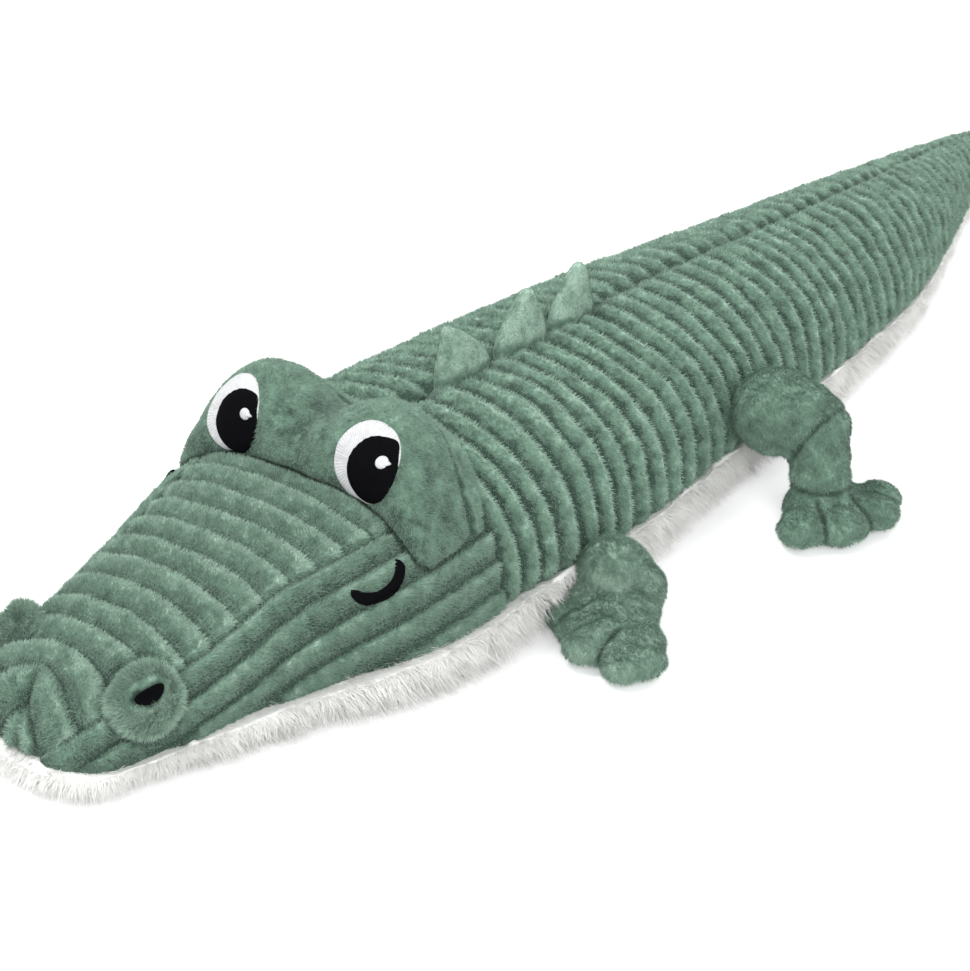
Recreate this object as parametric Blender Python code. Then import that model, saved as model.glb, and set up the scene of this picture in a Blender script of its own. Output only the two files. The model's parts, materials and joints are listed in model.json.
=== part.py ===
"""Plush crocodile: ribbed plush covers over polyester filling, with four swinging legs.

The animal lies on its flat white belly, nose towards -Y and tail towards +Y, +Z up.
Its left side is +X. All lengths are in metres, and a place is a distance behind the nose tip.
"""

import math
from bisect import bisect_right

import bmesh
import bpy
from mathutils import Matrix, Vector

# Clearances between neighbouring pieces
seam_gap = 0.0003
seat_gap = 0.0003
swing_gap = 0.0005

# Cloth thicknesses, pile included
cover_thickness = 0.0030
fur_thickness = 0.0035
leg_cover_thickness = 0.0025
thread_thickness = 0.0009

# Runs from one body station to the next, nose tip first
nose_run = 0.026
snout_front_run = 0.038
snout_back_run = 0.048
brow_run = 0.038
shoulder_run = 0.060
trunk_run = 0.080
rump_run = 0.080
tail_root_run = 0.075
tail_middle_run = 0.103
tail_end_run = 0.084

# Half widths of the green body at its stations
nose_tip_half_width = 0.0250
nose_half_width = 0.0305
snout_half_width = 0.0390
cheek_half_width = 0.0540
neck_half_width = 0.0570
shoulder_half_width = 0.0580
hip_half_width = 0.0505
tail_root_half_width = 0.0420
tail_half_width = 0.0325
tail_thin_half_width = 0.0160
tail_tip_half_width = 0.0065

# Heights of the back over the floor at the same stations
nose_tip_height = 0.0275
nose_height = 0.0325
snout_height = 0.0420
cheek_height = 0.0520
neck_height = 0.0570
shoulder_height = 0.0585
hip_height = 0.0585
tail_root_height = 0.0555
tail_height = 0.0500
tail_thin_height = 0.0340
tail_tip_height = 0.0170

# Seam between the green cover and the white belly, and the sideways bend of the tail
hem_height = 0.0150
hem_height_shares = (0.60, 0.63, 0.73, 0.87, 1.0, 1.0, 1.0, 1.0, 0.95, 0.80, 0.45)
tail_drift = 0.057
drift_shares = (0.0, 0.0, 0.0, 0.0, 0.0, 0.03, 0.10, 0.15, 0.27, 0.67, 1.0)

# White fur that stands proud of the green hem
fur_overhang = 0.0060
overhang_shares = (0.75, 0.80, 1.0, 1.2, 0.60, 0.25, 0.20, 0.20, 0.20, 0.18, 0.15)
chin_lip = 0.0040
tail_lip = 0.0020
fur_corner = 0.0130
fur_corner_limit_share = 0.60
fur_side_share = 0.40
fur_outer_columns = 10

# Rounding of the two tips
nose_round = 0.0140
nose_front_share = 0.42
tail_round = 0.0140
tail_end_share = 0.40
least_cavity = 0.0016

# Section of the green dome
dome_powers = (2.3, 2.5, 2.75, 2.75, 2.55, 2.45, 2.35, 2.3, 2.3, 2.3, 2.3)
side_seam_turn = math.radians(48.0)
upper_turn = math.radians(69.0)
nose_rows = 5

# Ribs of the plush
snout_rib_pitch = 0.0090
snout_rib_depth = 0.0016
body_rib_pitch = 0.0095
body_rib_depth = 0.0024
side_rib_depth = 0.0011
side_rib_count = 5

# Padded brow that carries the eyes
brow_half_width = 0.0480
brow_bump_rise = 0.0225
brow_depth = 0.0380
brow_centre_lift = -0.0024
brow_place_share = 0.46
brow_cover_thickness = 0.0028
brow_spread_shares = (1.0, 0.97, 0.89, 0.76, 0.565, 0.34, 0.16, 0.0)
brow_rise_shares = (0.10, 0.30, 0.62, 0.88, 1.0, 0.88, 0.66, 0.56)
brow_depth_shares = (0.18, 0.42, 0.64, 0.76, 0.82, 0.88, 0.97, 1.0)
brow_drop_shares = (0.60, 0.56, 0.42, 0.22, 0.06, 0.02, 0.0, 0.0)
brow_drop = 0.0220
brow_section_points = 14
brow_hollow_points = 10

# Embroidered eyes, both looking to the same side
eye_spacing = 0.0540
eye_height = 0.0606
eye_half_width = 0.0108
eye_half_height = 0.0120
eye_outward_turn = math.radians(6.0)
eye_upward_turn = math.radians(14.0)
pupil_half_width = 0.0083
pupil_half_height = 0.0100
pupil_shift = 0.0029
pupil_drop = 0.0012
glint_radius = 0.0022
glint_shift_share = 0.45
glint_lift_share = 0.30
patch_points = 20
glint_points = 10

# Nostril pads with a stitched slit
nostril_place = 0.0270
nostril_turn = math.radians(34.0)
nostril_pad_half_length = 0.0095
nostril_pad_half_width = 0.0085
nostril_pad_rise = 0.0050
nostril_slit_half_length = 0.0045
nostril_slit_half_width = 0.0020

# Stitched smile behind the mouth corner
smile_place = 0.1010
smile_turn = math.radians(36.5)
smile_radius = 0.0074
smile_half_width = 0.0011
smile_start = math.radians(190.0)
smile_end = math.radians(372.0)
smile_end_share = 0.45
smile_steps = 10

# Spikes sewn into the back seam: place, length, height and lean of each
spike_thickness = 0.0090
front_spike_place = 0.1900
middle_spike_spacing = 0.0300
rear_spike_spacing = 0.0280
front_spike_length = 0.0260
middle_spike_length = 0.0260
rear_spike_length = 0.0235
spike_height = 0.0165
front_spike_lean = -0.0050
middle_spike_lean = 0.0035
rear_spike_lean = 0.0040
spike_level_shares = (-0.25, 0.0, 0.25, 0.50, 0.75, 0.92, 1.0)
spike_width_shares = (1.0, 1.0, 0.93, 0.78, 0.54, 0.30, 0.12)
spike_points = 12
spike_bend_power = 1.5

# Front legs, given for the left one; the right one is turned to point back
front_leg_place = 0.1800
front_root_radius = 0.0118
front_root_half_height = 0.0108
front_root_height = 0.0148
front_elbow_reach = 0.0062
front_elbow_trail = 0.0022
front_elbow_height = 0.0098
front_elbow_radius = 0.0100
front_elbow_half_height = 0.0085
front_wrist_reach = 0.0110
front_wrist_lead = 0.0135
front_wrist_height = 0.0074
front_wrist_radius = 0.0125
front_wrist_half_height = 0.0062
front_foot_reach = 0.0146
front_foot_lead = 0.0180
front_foot_half_length = 0.0175
front_foot_half_width = 0.0231
front_foot_height = 0.0125
front_toe_start = math.radians(-174.0)
front_toe_step = math.radians(49.0)

# Hind legs: the left one stands with a raised knee
hind_leg_place = 0.2760
hind_root_radius = 0.0150
hind_root_half_height = 0.0150
hind_root_height = 0.0320
hind_knee_reach = 0.0155
hind_knee_lead = 0.0000
hind_knee_height = 0.0310
hind_knee_radius = 0.0112
hind_knee_half_height = 0.0112
hind_ankle_reach = 0.0210
hind_ankle_lead = 0.0040
hind_ankle_height = 0.0066
hind_ankle_radius = 0.0102
hind_ankle_half_height = 0.0060
hind_foot_reach = 0.0280
hind_foot_lead = 0.0050
hind_foot_half_length = 0.0250
hind_foot_half_width = 0.0180
hind_foot_height = 0.0140
hind_toe_start = math.radians(-99.0)
hind_toe_step = math.radians(55.0)

# The right hind leg lies flat beside the body
flat_root_half_height = 0.0140
flat_root_height = 0.0155
flat_knee_reach = 0.0140
flat_knee_lead = 0.0030
flat_knee_height = 0.0110
flat_knee_radius = 0.0120
flat_knee_half_height = 0.0088
flat_ankle_reach = 0.0160
flat_ankle_lead = 0.0100
flat_ankle_height = 0.0085
flat_ankle_radius = 0.0104
flat_ankle_half_height = 0.0068
flat_foot_reach = 0.0170
flat_foot_lead = 0.0120
flat_foot_height = 0.0125

# Shared leg values
root_sink = 0.0018
leg_opening_radius = 0.0060
run_share = 0.93
toe_count = 4
toe_groove_power = 3
toe_depth_share = 0.20
foot_points = 32
foot_hollow_points = 12
foot_ring_shares = ((0.84, 0.0), (1.0, 0.30), (0.88, 0.75), (0.50, 0.97))
root_segments = 16
ball_segments = 12
hollow_segments = 10
tube_points = 10
cutter_overrun = 0.0020

# Shading of soft surfaces
crease_angle = math.radians(60.0)

# Columns of the head covers
snout_columns = 8
side_turns = (0.0, side_seam_turn / 2, side_seam_turn)

STATION_RUNS = (
    nose_run, snout_front_run, snout_back_run, brow_run, shoulder_run,
    trunk_run, rump_run, tail_root_run, tail_middle_run, tail_end_run,
)
PLACES = [sum(STATION_RUNS[:count]) for count in range(len(STATION_RUNS) + 1)]
HALF_WIDTHS = (
    nose_tip_half_width, nose_half_width, snout_half_width, cheek_half_width, neck_half_width,
    shoulder_half_width, hip_half_width, tail_root_half_width, tail_half_width,
    tail_thin_half_width, tail_tip_half_width,
)
HEIGHTS = (
    nose_tip_height, nose_height, snout_height, cheek_height, neck_height, shoulder_height,
    hip_height, tail_root_height, tail_height, tail_thin_height, tail_tip_height,
)
total_length = PLACES[-1]
brow_front = PLACES[3]
neck_place = PLACES[4]
dome_start = chin_lip
dome_end = total_length - tail_lip
half_turn = math.pi
quarter_turn = math.pi / 2


# Smooth curves through the body stations

def on_curve(values, place):
    """Value at a place on a smooth curve through the station values."""
    last = len(PLACES) - 1
    index = min(max(bisect_right(PLACES, place) - 1, 0), last - 1)

    def slope(at):
        before = max(at - 1, 0)
        after = min(at + 1, last)
        return (values[after] - values[before]) / (PLACES[after] - PLACES[before])

    run = PLACES[index + 1] - PLACES[index]
    part = min(max((place - PLACES[index]) / run, 0.0), 1.0)
    square = part * part
    cube = square * part
    return (
        values[index] * (2 * cube - 3 * square + 1)
        + slope(index) * run * (cube - 2 * square + part)
        + values[index + 1] * (3 * square - 2 * cube)
        + slope(index + 1) * run * (cube - square)
    )


def tip_round(place, start, end):
    """Rounding of the tips: zero at start and end, one in the body between them."""
    front = min(max((place - start) / nose_round, 0.0), 1.0)
    back = min(max((end - place) / tail_round, 0.0), 1.0)
    return math.sqrt(1 - (1 - front) ** 2) * math.sqrt(1 - (1 - back) ** 2)


def hem_at(place):
    return hem_height * on_curve(hem_height_shares, place)


def drift_at(place):
    return -tail_drift * on_curve(drift_shares, place)


def blunt(rounding, place):
    """Rounding of the plan outline, which stays blunt at the nose and the tail tip."""
    share = nose_front_share if place < neck_place else tail_end_share
    return share + (1 - share) * rounding


def half_width_at(place, start=dome_start, end=dome_end):
    return on_curve(HALF_WIDTHS, place) * blunt(tip_round(place, start, end), place)


def dome_point(place, turn, inset=0.0, side=0.0):
    """Point of the green cover, from turn 0 at the left hem over the back to the right hem."""
    half = half_width_at(place) - inset
    base = hem_at(place) + seam_gap / 2
    rise = (on_curve(HEIGHTS, place) - base) * tip_round(place, dome_start, dome_end) - inset
    across = math.cos(turn)
    power = 2 / on_curve(dome_powers, place)
    spread = math.copysign(abs(across) ** power, across) * half
    if side:
        spread = side * max(side * spread, seam_gap / 2)
    lift = max(rise, 0.0) * max(math.sin(turn), 0.0) ** power
    return Vector((drift_at(place) + spread, place, base + lift))


def fur_point(place, share, inner):
    """Point of the white tray, from share 0 at the left hem under the belly to 1 at the right."""
    top = hem_at(place) - seam_gap / 2
    if inner:
        half = half_width_at(place) - cover_thickness
        floor = min(fur_thickness, top)
    else:
        outer = tip_round(place, 0.0, total_length)
        half = on_curve(HALF_WIDTHS, place) * blunt(outer, place)
        half += fur_overhang * on_curve(overhang_shares, place)
        floor = top * (1 - outer)
    corner = min(fur_corner, half * fur_corner_limit_share)
    flat = half - corner
    side = 1 if share <= 0.5 else -1
    from_hem = min(share, 1 - share)
    if from_hem < fur_side_share:
        angle = quarter_turn * from_hem / fur_side_share
        across = flat + corner * math.cos(angle)
        height = top - (top - floor) * math.sin(angle)
    else:
        across = flat * (0.5 - from_hem) / (0.5 - fur_side_share)
        height = floor
    return Vector((drift_at(place) + side * across, place, height))


# Rows of places along the body

def nose_places(start):
    """Rows that follow the rounding of the nose, closest together at the tip."""
    steps = range(nose_rows + 1)
    return [start + nose_round * (1 - math.cos(quarter_turn * step / nose_rows)) for step in steps]


def head_places(start):
    """Rows of the head covers: the nose rounding, then two rows for each rib as far as the neck."""
    places = nose_places(start)
    end = neck_place - seam_gap / 2
    ribs = round((end - places[-1]) / snout_rib_pitch)
    step = (end - places[-1]) / (2 * ribs)
    return places + [places[-1] + step * (count + 1) for count in range(2 * ribs)]


def body_places(end):
    """Rows of the back covers: two for each rib from the neck, then the tail rounding."""
    start = neck_place + seam_gap / 2
    ribs = round((end - tail_round - start) / body_rib_pitch)
    step = (end - tail_round - start) / (2 * ribs)
    places = [start + step * count for count in range(2 * ribs + 1)]
    tips = range(nose_rows - 1, -1, -1)
    return places + [end - tail_round * (1 - math.cos(quarter_turn * tip / nose_rows)) for tip in tips]


def cavity_front(places):
    """First row far enough behind the nose to hold the filling."""
    for index, place in enumerate(places):
        if place >= dome_start + cover_thickness:
            return index
    return len(places) - 1


def cavity_back(places):
    """Last rib row where the covers still have room for the filling."""
    last = len(places) - 1 - nose_rows
    last -= last % 2
    while half_width_at(places[last]) - cover_thickness < least_cavity:
        last -= 2
    return last


# Meshes

def new_object(name, builder, material=None):
    """Object made from a finished bmesh, with its faces turned outwards."""
    mesh = bpy.data.meshes.new(name)
    builder.to_mesh(mesh)
    builder.free()
    mesh.shade_smooth()
    mesh.set_sharp_from_angle(angle=crease_angle)
    if material is not None:
        mesh.materials.append(material)
    body = bpy.data.objects.new(name, mesh)
    bpy.context.scene.collection.objects.link(body)
    return body


def finish(builder):
    """Close a bmesh: merge doubles, drop slivers, triangulate and turn the faces out."""
    merge_distance = seam_gap / 60
    bmesh.ops.remove_doubles(builder, verts=builder.verts, dist=merge_distance)
    bmesh.ops.dissolve_degenerate(builder, edges=builder.edges, dist=merge_distance)
    bmesh.ops.triangulate(builder, faces=builder.faces)
    bmesh.ops.recalc_face_normals(builder, faces=builder.faces)


def add_face(builder, corners):
    """Face through the corners, leaving out repeated ones."""
    kept = []
    for corner in corners:
        if corner not in kept:
            kept.append(corner)
    if len(kept) > 2:
        builder.faces.new(kept)


def grid_faces(builder, rows):
    for near, far in zip(rows, rows[1:]):
        for column in range(len(near) - 1):
            add_face(builder, (near[column], near[column + 1], far[column + 1], far[column]))


def strip_faces(builder, outer, inner, matches):
    """Faces between two runs, where matches gives each outer point its inner point."""
    for index in range(len(outer) - 1):
        near, far = outer[index], outer[index + 1]
        near_inner, far_inner = inner[matches[index]], inner[matches[index + 1]]
        if (near.co - far_inner.co).length < (far.co - near_inner.co).length:
            add_face(builder, (near, far, far_inner))
            add_face(builder, (near, far_inner, near_inner))
        else:
            add_face(builder, (near, far, near_inner))
            add_face(builder, (far, far_inner, near_inner))


def shell(name, outer_rows, inner_rows, row_matches, column_matches, material):
    """Closed sheet of cloth between an outer and an inner grid of points."""
    builder = bmesh.new()
    outer = [[builder.verts.new(point) for point in row] for row in outer_rows]
    inner = [[builder.verts.new(point) for point in row] for row in inner_rows]
    grid_faces(builder, outer)
    grid_faces(builder, inner)
    strip_faces(builder, [row[0] for row in outer], [row[0] for row in inner], row_matches)
    strip_faces(builder, [row[-1] for row in outer], [row[-1] for row in inner], row_matches)
    strip_faces(builder, outer[0], inner[0], column_matches)
    strip_faces(builder, outer[-1], inner[-1], column_matches)
    finish(builder)
    return new_object(name, builder, material)


def loft(name, rings, material=None):
    """Closed body through rings of points, with flat ends."""
    builder = bmesh.new()
    loops = []
    for ring in rings:
        verts = [builder.verts.new(point) for point in ring]
        edges = [builder.edges.new((verts[at - 1], verts[at])) for at in range(len(verts))]
        loops.append((verts, edges))
    for (_, near), (_, far) in zip(loops, loops[1:]):
        bmesh.ops.bridge_loops(builder, edges=near + far)
    builder.faces.new(loops[0][0])
    builder.faces.new(loops[-1][0])
    finish(builder)
    return new_object(name, builder, material)


def pole_loft(name, rings, bottom, top, material=None):
    """Closed body through rings of points that draws in to a point at each end."""
    builder = bmesh.new()
    loops = [[builder.verts.new(point) for point in ring] for ring in rings]
    for near, far in zip(loops, loops[1:]):
        for at in range(len(near)):
            builder.faces.new((near[at - 1], near[at], far[at], far[at - 1]))
    for ring, pole in ((loops[0], bottom), (loops[-1], top)):
        tip = builder.verts.new(pole)
        for at in range(len(ring)):
            builder.faces.new((ring[at - 1], ring[at], tip))
    finish(builder)
    return new_object(name, builder, material)


def spheroid(name, centre, radius, half_height, segments, material=None):
    """Ball that is round about the vertical axis through its centre."""
    builder = bmesh.new()
    bmesh.ops.create_uvsphere(builder, u_segments=segments, v_segments=segments // 2, radius=1.0)
    bmesh.ops.scale(builder, vec=(radius, radius, half_height), verts=builder.verts)
    bmesh.ops.translate(builder, vec=centre, verts=builder.verts)
    finish(builder)
    return new_object(name, builder, material)


def cutter(body):
    """Mark a body as a cutter that isn't part of the toy."""
    body.hide_render = True
    body.display_type = "WIRE"
    return body


def combine(body, other, operation):
    """Live Boolean of one body with another."""
    modifier = body.modifiers.new(other.name, "BOOLEAN")
    modifier.operation = operation
    modifier.object = other
    modifier.solver = "EXACT"
    return body


# Materials

def cloth(name, colour, roughness):
    material = bpy.data.materials.new(name)
    material.use_nodes = True
    shader = material.node_tree.nodes["Principled BSDF"]
    shader.inputs["Base Color"].default_value = (*colour, 1.0)
    shader.inputs["Roughness"].default_value = roughness
    shader.inputs["Metallic"].default_value = 0.0
    material.diffuse_color = (*colour, 1.0)
    return material


# Covers of the head

def matches_for(places, inner_places, closed_front=False, closed_back=False):
    """Nearest inner row of each outer row, with one more inner row at each closed end."""
    shift = 1 if closed_front else 0
    matches = []
    for place in places:
        if closed_front and place < inner_places[0]:
            matches.append(0)
        elif closed_back and place > inner_places[-1]:
            matches.append(len(inner_places) + shift)
        else:
            nearest = min(range(len(inner_places)), key=lambda at: abs(inner_places[at] - place))
            matches.append(nearest + shift)
    return matches


def nearest_columns(turns, inner_turns):
    """Nearest inner column of each outer column."""
    inner = range(len(inner_turns))
    return [min(inner, key=lambda at: abs(inner_turns[at] - turn)) for turn in turns]


def flat_row(row, height):
    """Row pressed down onto the seam level, which closes the end of a cavity."""
    return [Vector((point.x, point.y, height)) for point in row]


def head_rows():
    places = head_places(dome_start)
    first = cavity_front(places)
    if (len(places) - 1 - first) % 2:
        first += 1
    return places, first


def snout_rib_inset(index):
    """Depth of the transverse ribs of the snout at a row."""
    return snout_rib_depth if index >= nose_rows and (index - nose_rows) % 2 == 0 else 0.0


def head_turns():
    """Turns of the columns over the top of the head, from one side seam to the other."""
    span = half_turn - 2 * side_seam_turn
    return [side_seam_turn + span * column / snout_columns for column in range(snout_columns + 1)]


def trunk_turns():
    """Turns of the columns of the left half of the back, from the hem to the centre seam."""
    inner = (0.0, side_seam_turn, upper_turn, quarter_turn)
    turns = []
    for low, high in zip(inner, inner[1:]):
        turns += [low, (low + high) / 2]
    return turns + [quarter_turn]


def seam_shift(place):
    return seam_gap / 2 / max(half_width_at(place), cover_thickness)


def make_snout_top(material):
    """Top of the snout: arched transverse ribs from the nose to the brow, smooth under it."""
    places, first = head_rows()
    inner_turns = (
        side_seam_turn, upper_turn, quarter_turn, half_turn - upper_turn, half_turn - side_seam_turn,
    )

    def turn_at(place, turn):
        edge = seam_shift(place)
        return min(max(turn, side_seam_turn + edge), half_turn - side_seam_turn - edge)

    outer_rows = []
    for index, place in enumerate(places):
        inset = snout_rib_inset(index)
        row = []
        for turn in head_turns():
            row.append(dome_point(place, turn_at(place, turn), inset))
        outer_rows.append(row)
    inner_rows = []
    for place in places[first::2]:
        row = [dome_point(place, turn_at(place, turn), cover_thickness) for turn in inner_turns]
        inner_rows.append(row)
    inner_rows.insert(0, flat_row(inner_rows[0], hem_at(places[first]) + seam_gap / 2))
    row_matches = matches_for(places, places[first::2], closed_front=True)
    column_matches = nearest_columns(head_turns(), inner_turns)
    return shell("snout_top_panel", outer_rows, inner_rows, row_matches, column_matches, material)


def make_snout_side(name, side, material):
    """Side of the snout and cheek: ribs that run along the jaw, fading out towards the nose."""
    covers, first = head_rows()
    inner_places = covers[first::2]
    places = [place for place in covers[:nose_rows] if place < inner_places[0]] + inner_places
    columns = 2 * side_rib_count

    def point_at(place, turn, inset):
        turn = min(turn, side_seam_turn - seam_shift(place))
        if side < 0:
            turn = half_turn - turn
        return dome_point(place, turn, inset)

    outer_rows = []
    for place in places:
        depth = side_rib_depth * min(max((place - dome_start) / snout_front_run, 0.0), 1.0)
        row = []
        for column in range(columns + 1):
            inset = depth if column % 2 else 0.0
            row.append(point_at(place, side_seam_turn * column / columns, inset))
        outer_rows.append(row)
    inner_rows = []
    for place in inner_places:
        inner_rows.append([point_at(place, turn, cover_thickness) for turn in side_turns])
    inner_rows.insert(0, flat_row(inner_rows[0], hem_at(inner_places[0]) + seam_gap / 2))
    row_matches = matches_for(places, inner_places, closed_front=True)
    column_matches = [round(2 * column / columns) for column in range(columns + 1)]
    return shell(name, outer_rows, inner_rows, row_matches, column_matches, material)


# White fur under the head and the belly

fur_inner_columns = fur_outer_columns // 2
fur_outer_shares = tuple(step / fur_outer_columns for step in range(fur_outer_columns + 1))
fur_inner_shares = tuple(step / fur_inner_columns for step in range(fur_inner_columns + 1))
fur_column_matches = [column // 2 for column in range(fur_outer_columns + 1)]


def make_chin(material):
    """White fur under the jaw, standing proud of the green cover as a lip."""
    covers, first = head_rows()
    inner_places = covers[first::2]
    places = [place for place in nose_places(0.0) if place < inner_places[0]] + inner_places
    outer_rows = [[fur_point(place, share, False) for share in fur_outer_shares] for place in places]
    inner_rows = [[fur_point(place, share, True) for share in fur_inner_shares] for place in inner_places]
    inner_rows.insert(0, flat_row(inner_rows[0], hem_at(inner_places[0]) - seam_gap / 2))
    row_matches = matches_for(places, inner_places, closed_front=True)
    return shell("chin_panel", outer_rows, inner_rows, row_matches, fur_column_matches, material)


def belly_inner_places():
    """Every second rib of the trunk, and the last row of the cavity."""
    places = body_places(dome_end)
    last = cavity_back(places)
    inner = places[0:last + 1:4]
    if inner[-1] != places[last]:
        inner.append(places[last])
    return inner


def make_belly(material):
    """White fur of the belly and the tail, flat where it rests."""
    inner_places = belly_inner_places()
    tips = [place for place in body_places(total_length)[-nose_rows - 1:] if place > inner_places[-1]]
    places = inner_places + tips
    outer_rows = [[fur_point(place, share, False) for share in fur_outer_shares] for place in places]
    inner_rows = [[fur_point(place, share, True) for share in fur_inner_shares] for place in inner_places]
    inner_rows.append(flat_row(inner_rows[-1], hem_at(inner_places[-1]) - seam_gap / 2))
    row_matches = matches_for(places, inner_places, closed_back=True)
    return shell("belly_panel", outer_rows, inner_rows, row_matches, fur_column_matches, material)


# Ribbed back covers and the filling of the body

def make_back(name, side, material):
    """One half of the back: gathered ribs from the centre seam down to the hem."""
    places = body_places(dome_end)
    inner_turns = (*side_turns, upper_turn, quarter_turn)
    outer_turns = trunk_turns()

    def point_at(place, turn, inset):
        if side < 0:
            turn = half_turn - turn
        return dome_point(place, turn, inset, side)

    ribbed = len(places) - nose_rows
    outer_rows = []
    for index, place in enumerate(places):
        depth = body_rib_depth * half_width_at(place) / neck_half_width
        inset = depth if index % 2 == 0 and index < ribbed else 0.0
        outer_rows.append([point_at(place, turn, inset) for turn in outer_turns])
    inner_rows = []
    inner_places = belly_inner_places()
    for place in inner_places:
        depth = body_rib_depth * half_width_at(place) / neck_half_width
        inset = min(cover_thickness + depth, half_width_at(place) - least_cavity)
        inner_rows.append([point_at(place, turn, inset) for turn in inner_turns])
    inner_rows.append(flat_row(inner_rows[-1], hem_at(inner_places[-1]) + seam_gap / 2))
    row_matches = matches_for(places, inner_places, closed_back=True)
    column_matches = nearest_columns(outer_turns, inner_turns)
    return shell(name, outer_rows, inner_rows, row_matches, column_matches, material)


def filling_ring(place, trunk):
    """Ring of the filling, a clearance inside the covers and the fur."""
    inset = cover_thickness + seat_gap
    if trunk:
        depth = body_rib_depth * half_width_at(place) / neck_half_width
        inset = min(cover_thickness + depth, half_width_at(place) - least_cavity) + seat_gap
    turns = (*side_turns, upper_turn, quarter_turn, half_turn - upper_turn)
    turns += tuple(half_turn - turn for turn in reversed(side_turns))
    ring = [dome_point(place, turn, inset) for turn in turns]
    half = half_width_at(place) - cover_thickness
    for share in fur_inner_shares[-2:0:-1]:
        point = fur_point(place, share, True)
        point.x = drift_at(place) + (point.x - drift_at(place)) * (1 - seat_gap / half)
        point.z = max(point.z + seat_gap, min(fur_thickness + seat_gap, hem_at(place)))
        ring.append(point)
    return ring


def make_filling(material):
    """One continuous polyester filling from the nose to the tail."""
    places, first = head_rows()
    head = places[first::2]
    head[0] += seat_gap
    rings = [filling_ring(place, False) for place in head]
    trunk = belly_inner_places()
    trunk[-1] -= seat_gap
    rings += [filling_ring(place, True) for place in trunk]
    return loft("body_filling", rings, material)


# Envelope of the dome, for seating what is sewn onto it

def make_envelope(name, clearance, places, turns):
    """Green dome enlarged by a clearance, closed below the hem, as a cutter."""
    rings = []
    for place in places:
        ring = [dome_point(place, turn, -clearance) for turn in turns]
        ring += [Vector((point.x, place, hem_height / 2)) for point in (ring[-1], ring[0])]
        rings.append(ring)
    return cutter(loft(name, rings))


def head_envelope(name, clearance):
    """Envelope over the crests of the snout's ribs."""
    side_crests = [side_seam_turn * crest / side_rib_count for crest in range(side_rib_count)]
    turns = side_crests + head_turns() + [half_turn - turn for turn in reversed(side_crests)]
    return make_envelope(name, clearance, head_places(dome_start)[2:], turns)


def trunk_envelope(name, clearance):
    """Envelope over the crests of the back's ribs."""
    turns = trunk_turns()
    turns += [half_turn - turn for turn in reversed(turns[:-1])]
    return make_envelope(name, clearance, body_places(dome_end)[1:-nose_rows:2], turns)


# Padded brow

def brow_sections(inset, drop, count=brow_section_points):
    """Rings of the brow from its left end over both eye bumps to its right end."""
    place = brow_front + brow_run * brow_place_share
    top = on_curve(HEIGHTS, place)
    rings = []
    sides = [(1, at) for at in range(len(brow_spread_shares))]
    sides += [(-1, at) for at in range(len(brow_spread_shares) - 2, -1, -1)]
    for side, at in sides:
        across = side * (brow_half_width * brow_spread_shares[at] - inset * (at == 0))
        rise = brow_bump_rise * brow_rise_shares[at]
        centre = top + brow_centre_lift - brow_drop * brow_drop_shares[at]
        half_depth = brow_depth / 2 * brow_depth_shares[at] - inset
        half_height = rise - inset
        ring = []
        for point in range(count):
            angle = 2 * half_turn * point / count
            depth = half_depth * math.cos(angle)
            height = math.sin(angle)
            lift = half_height * height if height > 0 else (half_height + drop) * height
            ring.append(Vector((across, place + depth, centre + lift)))
        rings.append(ring)
    return rings


def make_brow(cover_material, filling_material, seat):
    """Padded brow: a cover open towards the head and its own filling."""
    cover = loft("brow_cover", brow_sections(0.0, 0.0), cover_material)
    combine(cover, seat, "DIFFERENCE")
    hollow_rings = brow_sections(brow_cover_thickness, cutter_overrun, brow_hollow_points)[1:-1]
    combine(cover, cutter(loft("brow_hollow", hollow_rings)), "DIFFERENCE")
    inset = brow_cover_thickness + seat_gap
    filling_rings = brow_sections(inset, cutter_overrun, brow_hollow_points)[1:-1]
    filling_rings[0] = [point - Vector((seat_gap, 0, 0)) for point in filling_rings[0]]
    filling_rings[-1] = [point + Vector((seat_gap, 0, 0)) for point in filling_rings[-1]]
    filling = loft("brow_filling", filling_rings, filling_material)
    combine(filling, seat, "DIFFERENCE")


# Embroidered patches

def prism(name, outline, centre, right, up, depth, material=None):
    """Straight prism through a surface, from an outline in the plane of right and up."""
    normal = right.cross(up)
    rings = []
    for reach in (-depth, depth):
        rings.append([centre + right * across + up * height + normal * reach for across, height in outline])
    return loft(name, rings, material)


def ellipse(half_width, half_height, across=0.0, height=0.0, count=patch_points):
    points = []
    for at in range(count):
        angle = 2 * half_turn * at / count
        points.append((across + half_width * math.cos(angle), height + half_height * math.sin(angle)))
    return points


def make_patch(name, outline, frame, outside, inside, material):
    """Stitched patch: a prism kept only between two offsets of the surface that carries it."""
    centre, right, up = frame
    patch = prism(name, outline, centre, right, up, eye_half_width, material)
    combine(patch, outside, "INTERSECT")
    combine(patch, inside, "DIFFERENCE")
    return patch


def eye_frame(side):
    """Centre and axes of an eye on the front of its brow bump."""
    place = brow_front + brow_run * brow_place_share
    front = place - brow_depth / 2
    turn = Matrix.Rotation(side * eye_outward_turn, 3, "Z") @ Matrix.Rotation(-eye_upward_turn, 3, "X")
    right = turn @ Vector((1, 0, 0))
    up = turn @ Vector((0, 0, 1))
    return Vector((side * eye_spacing / 2, front, eye_height)), right, up


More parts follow.
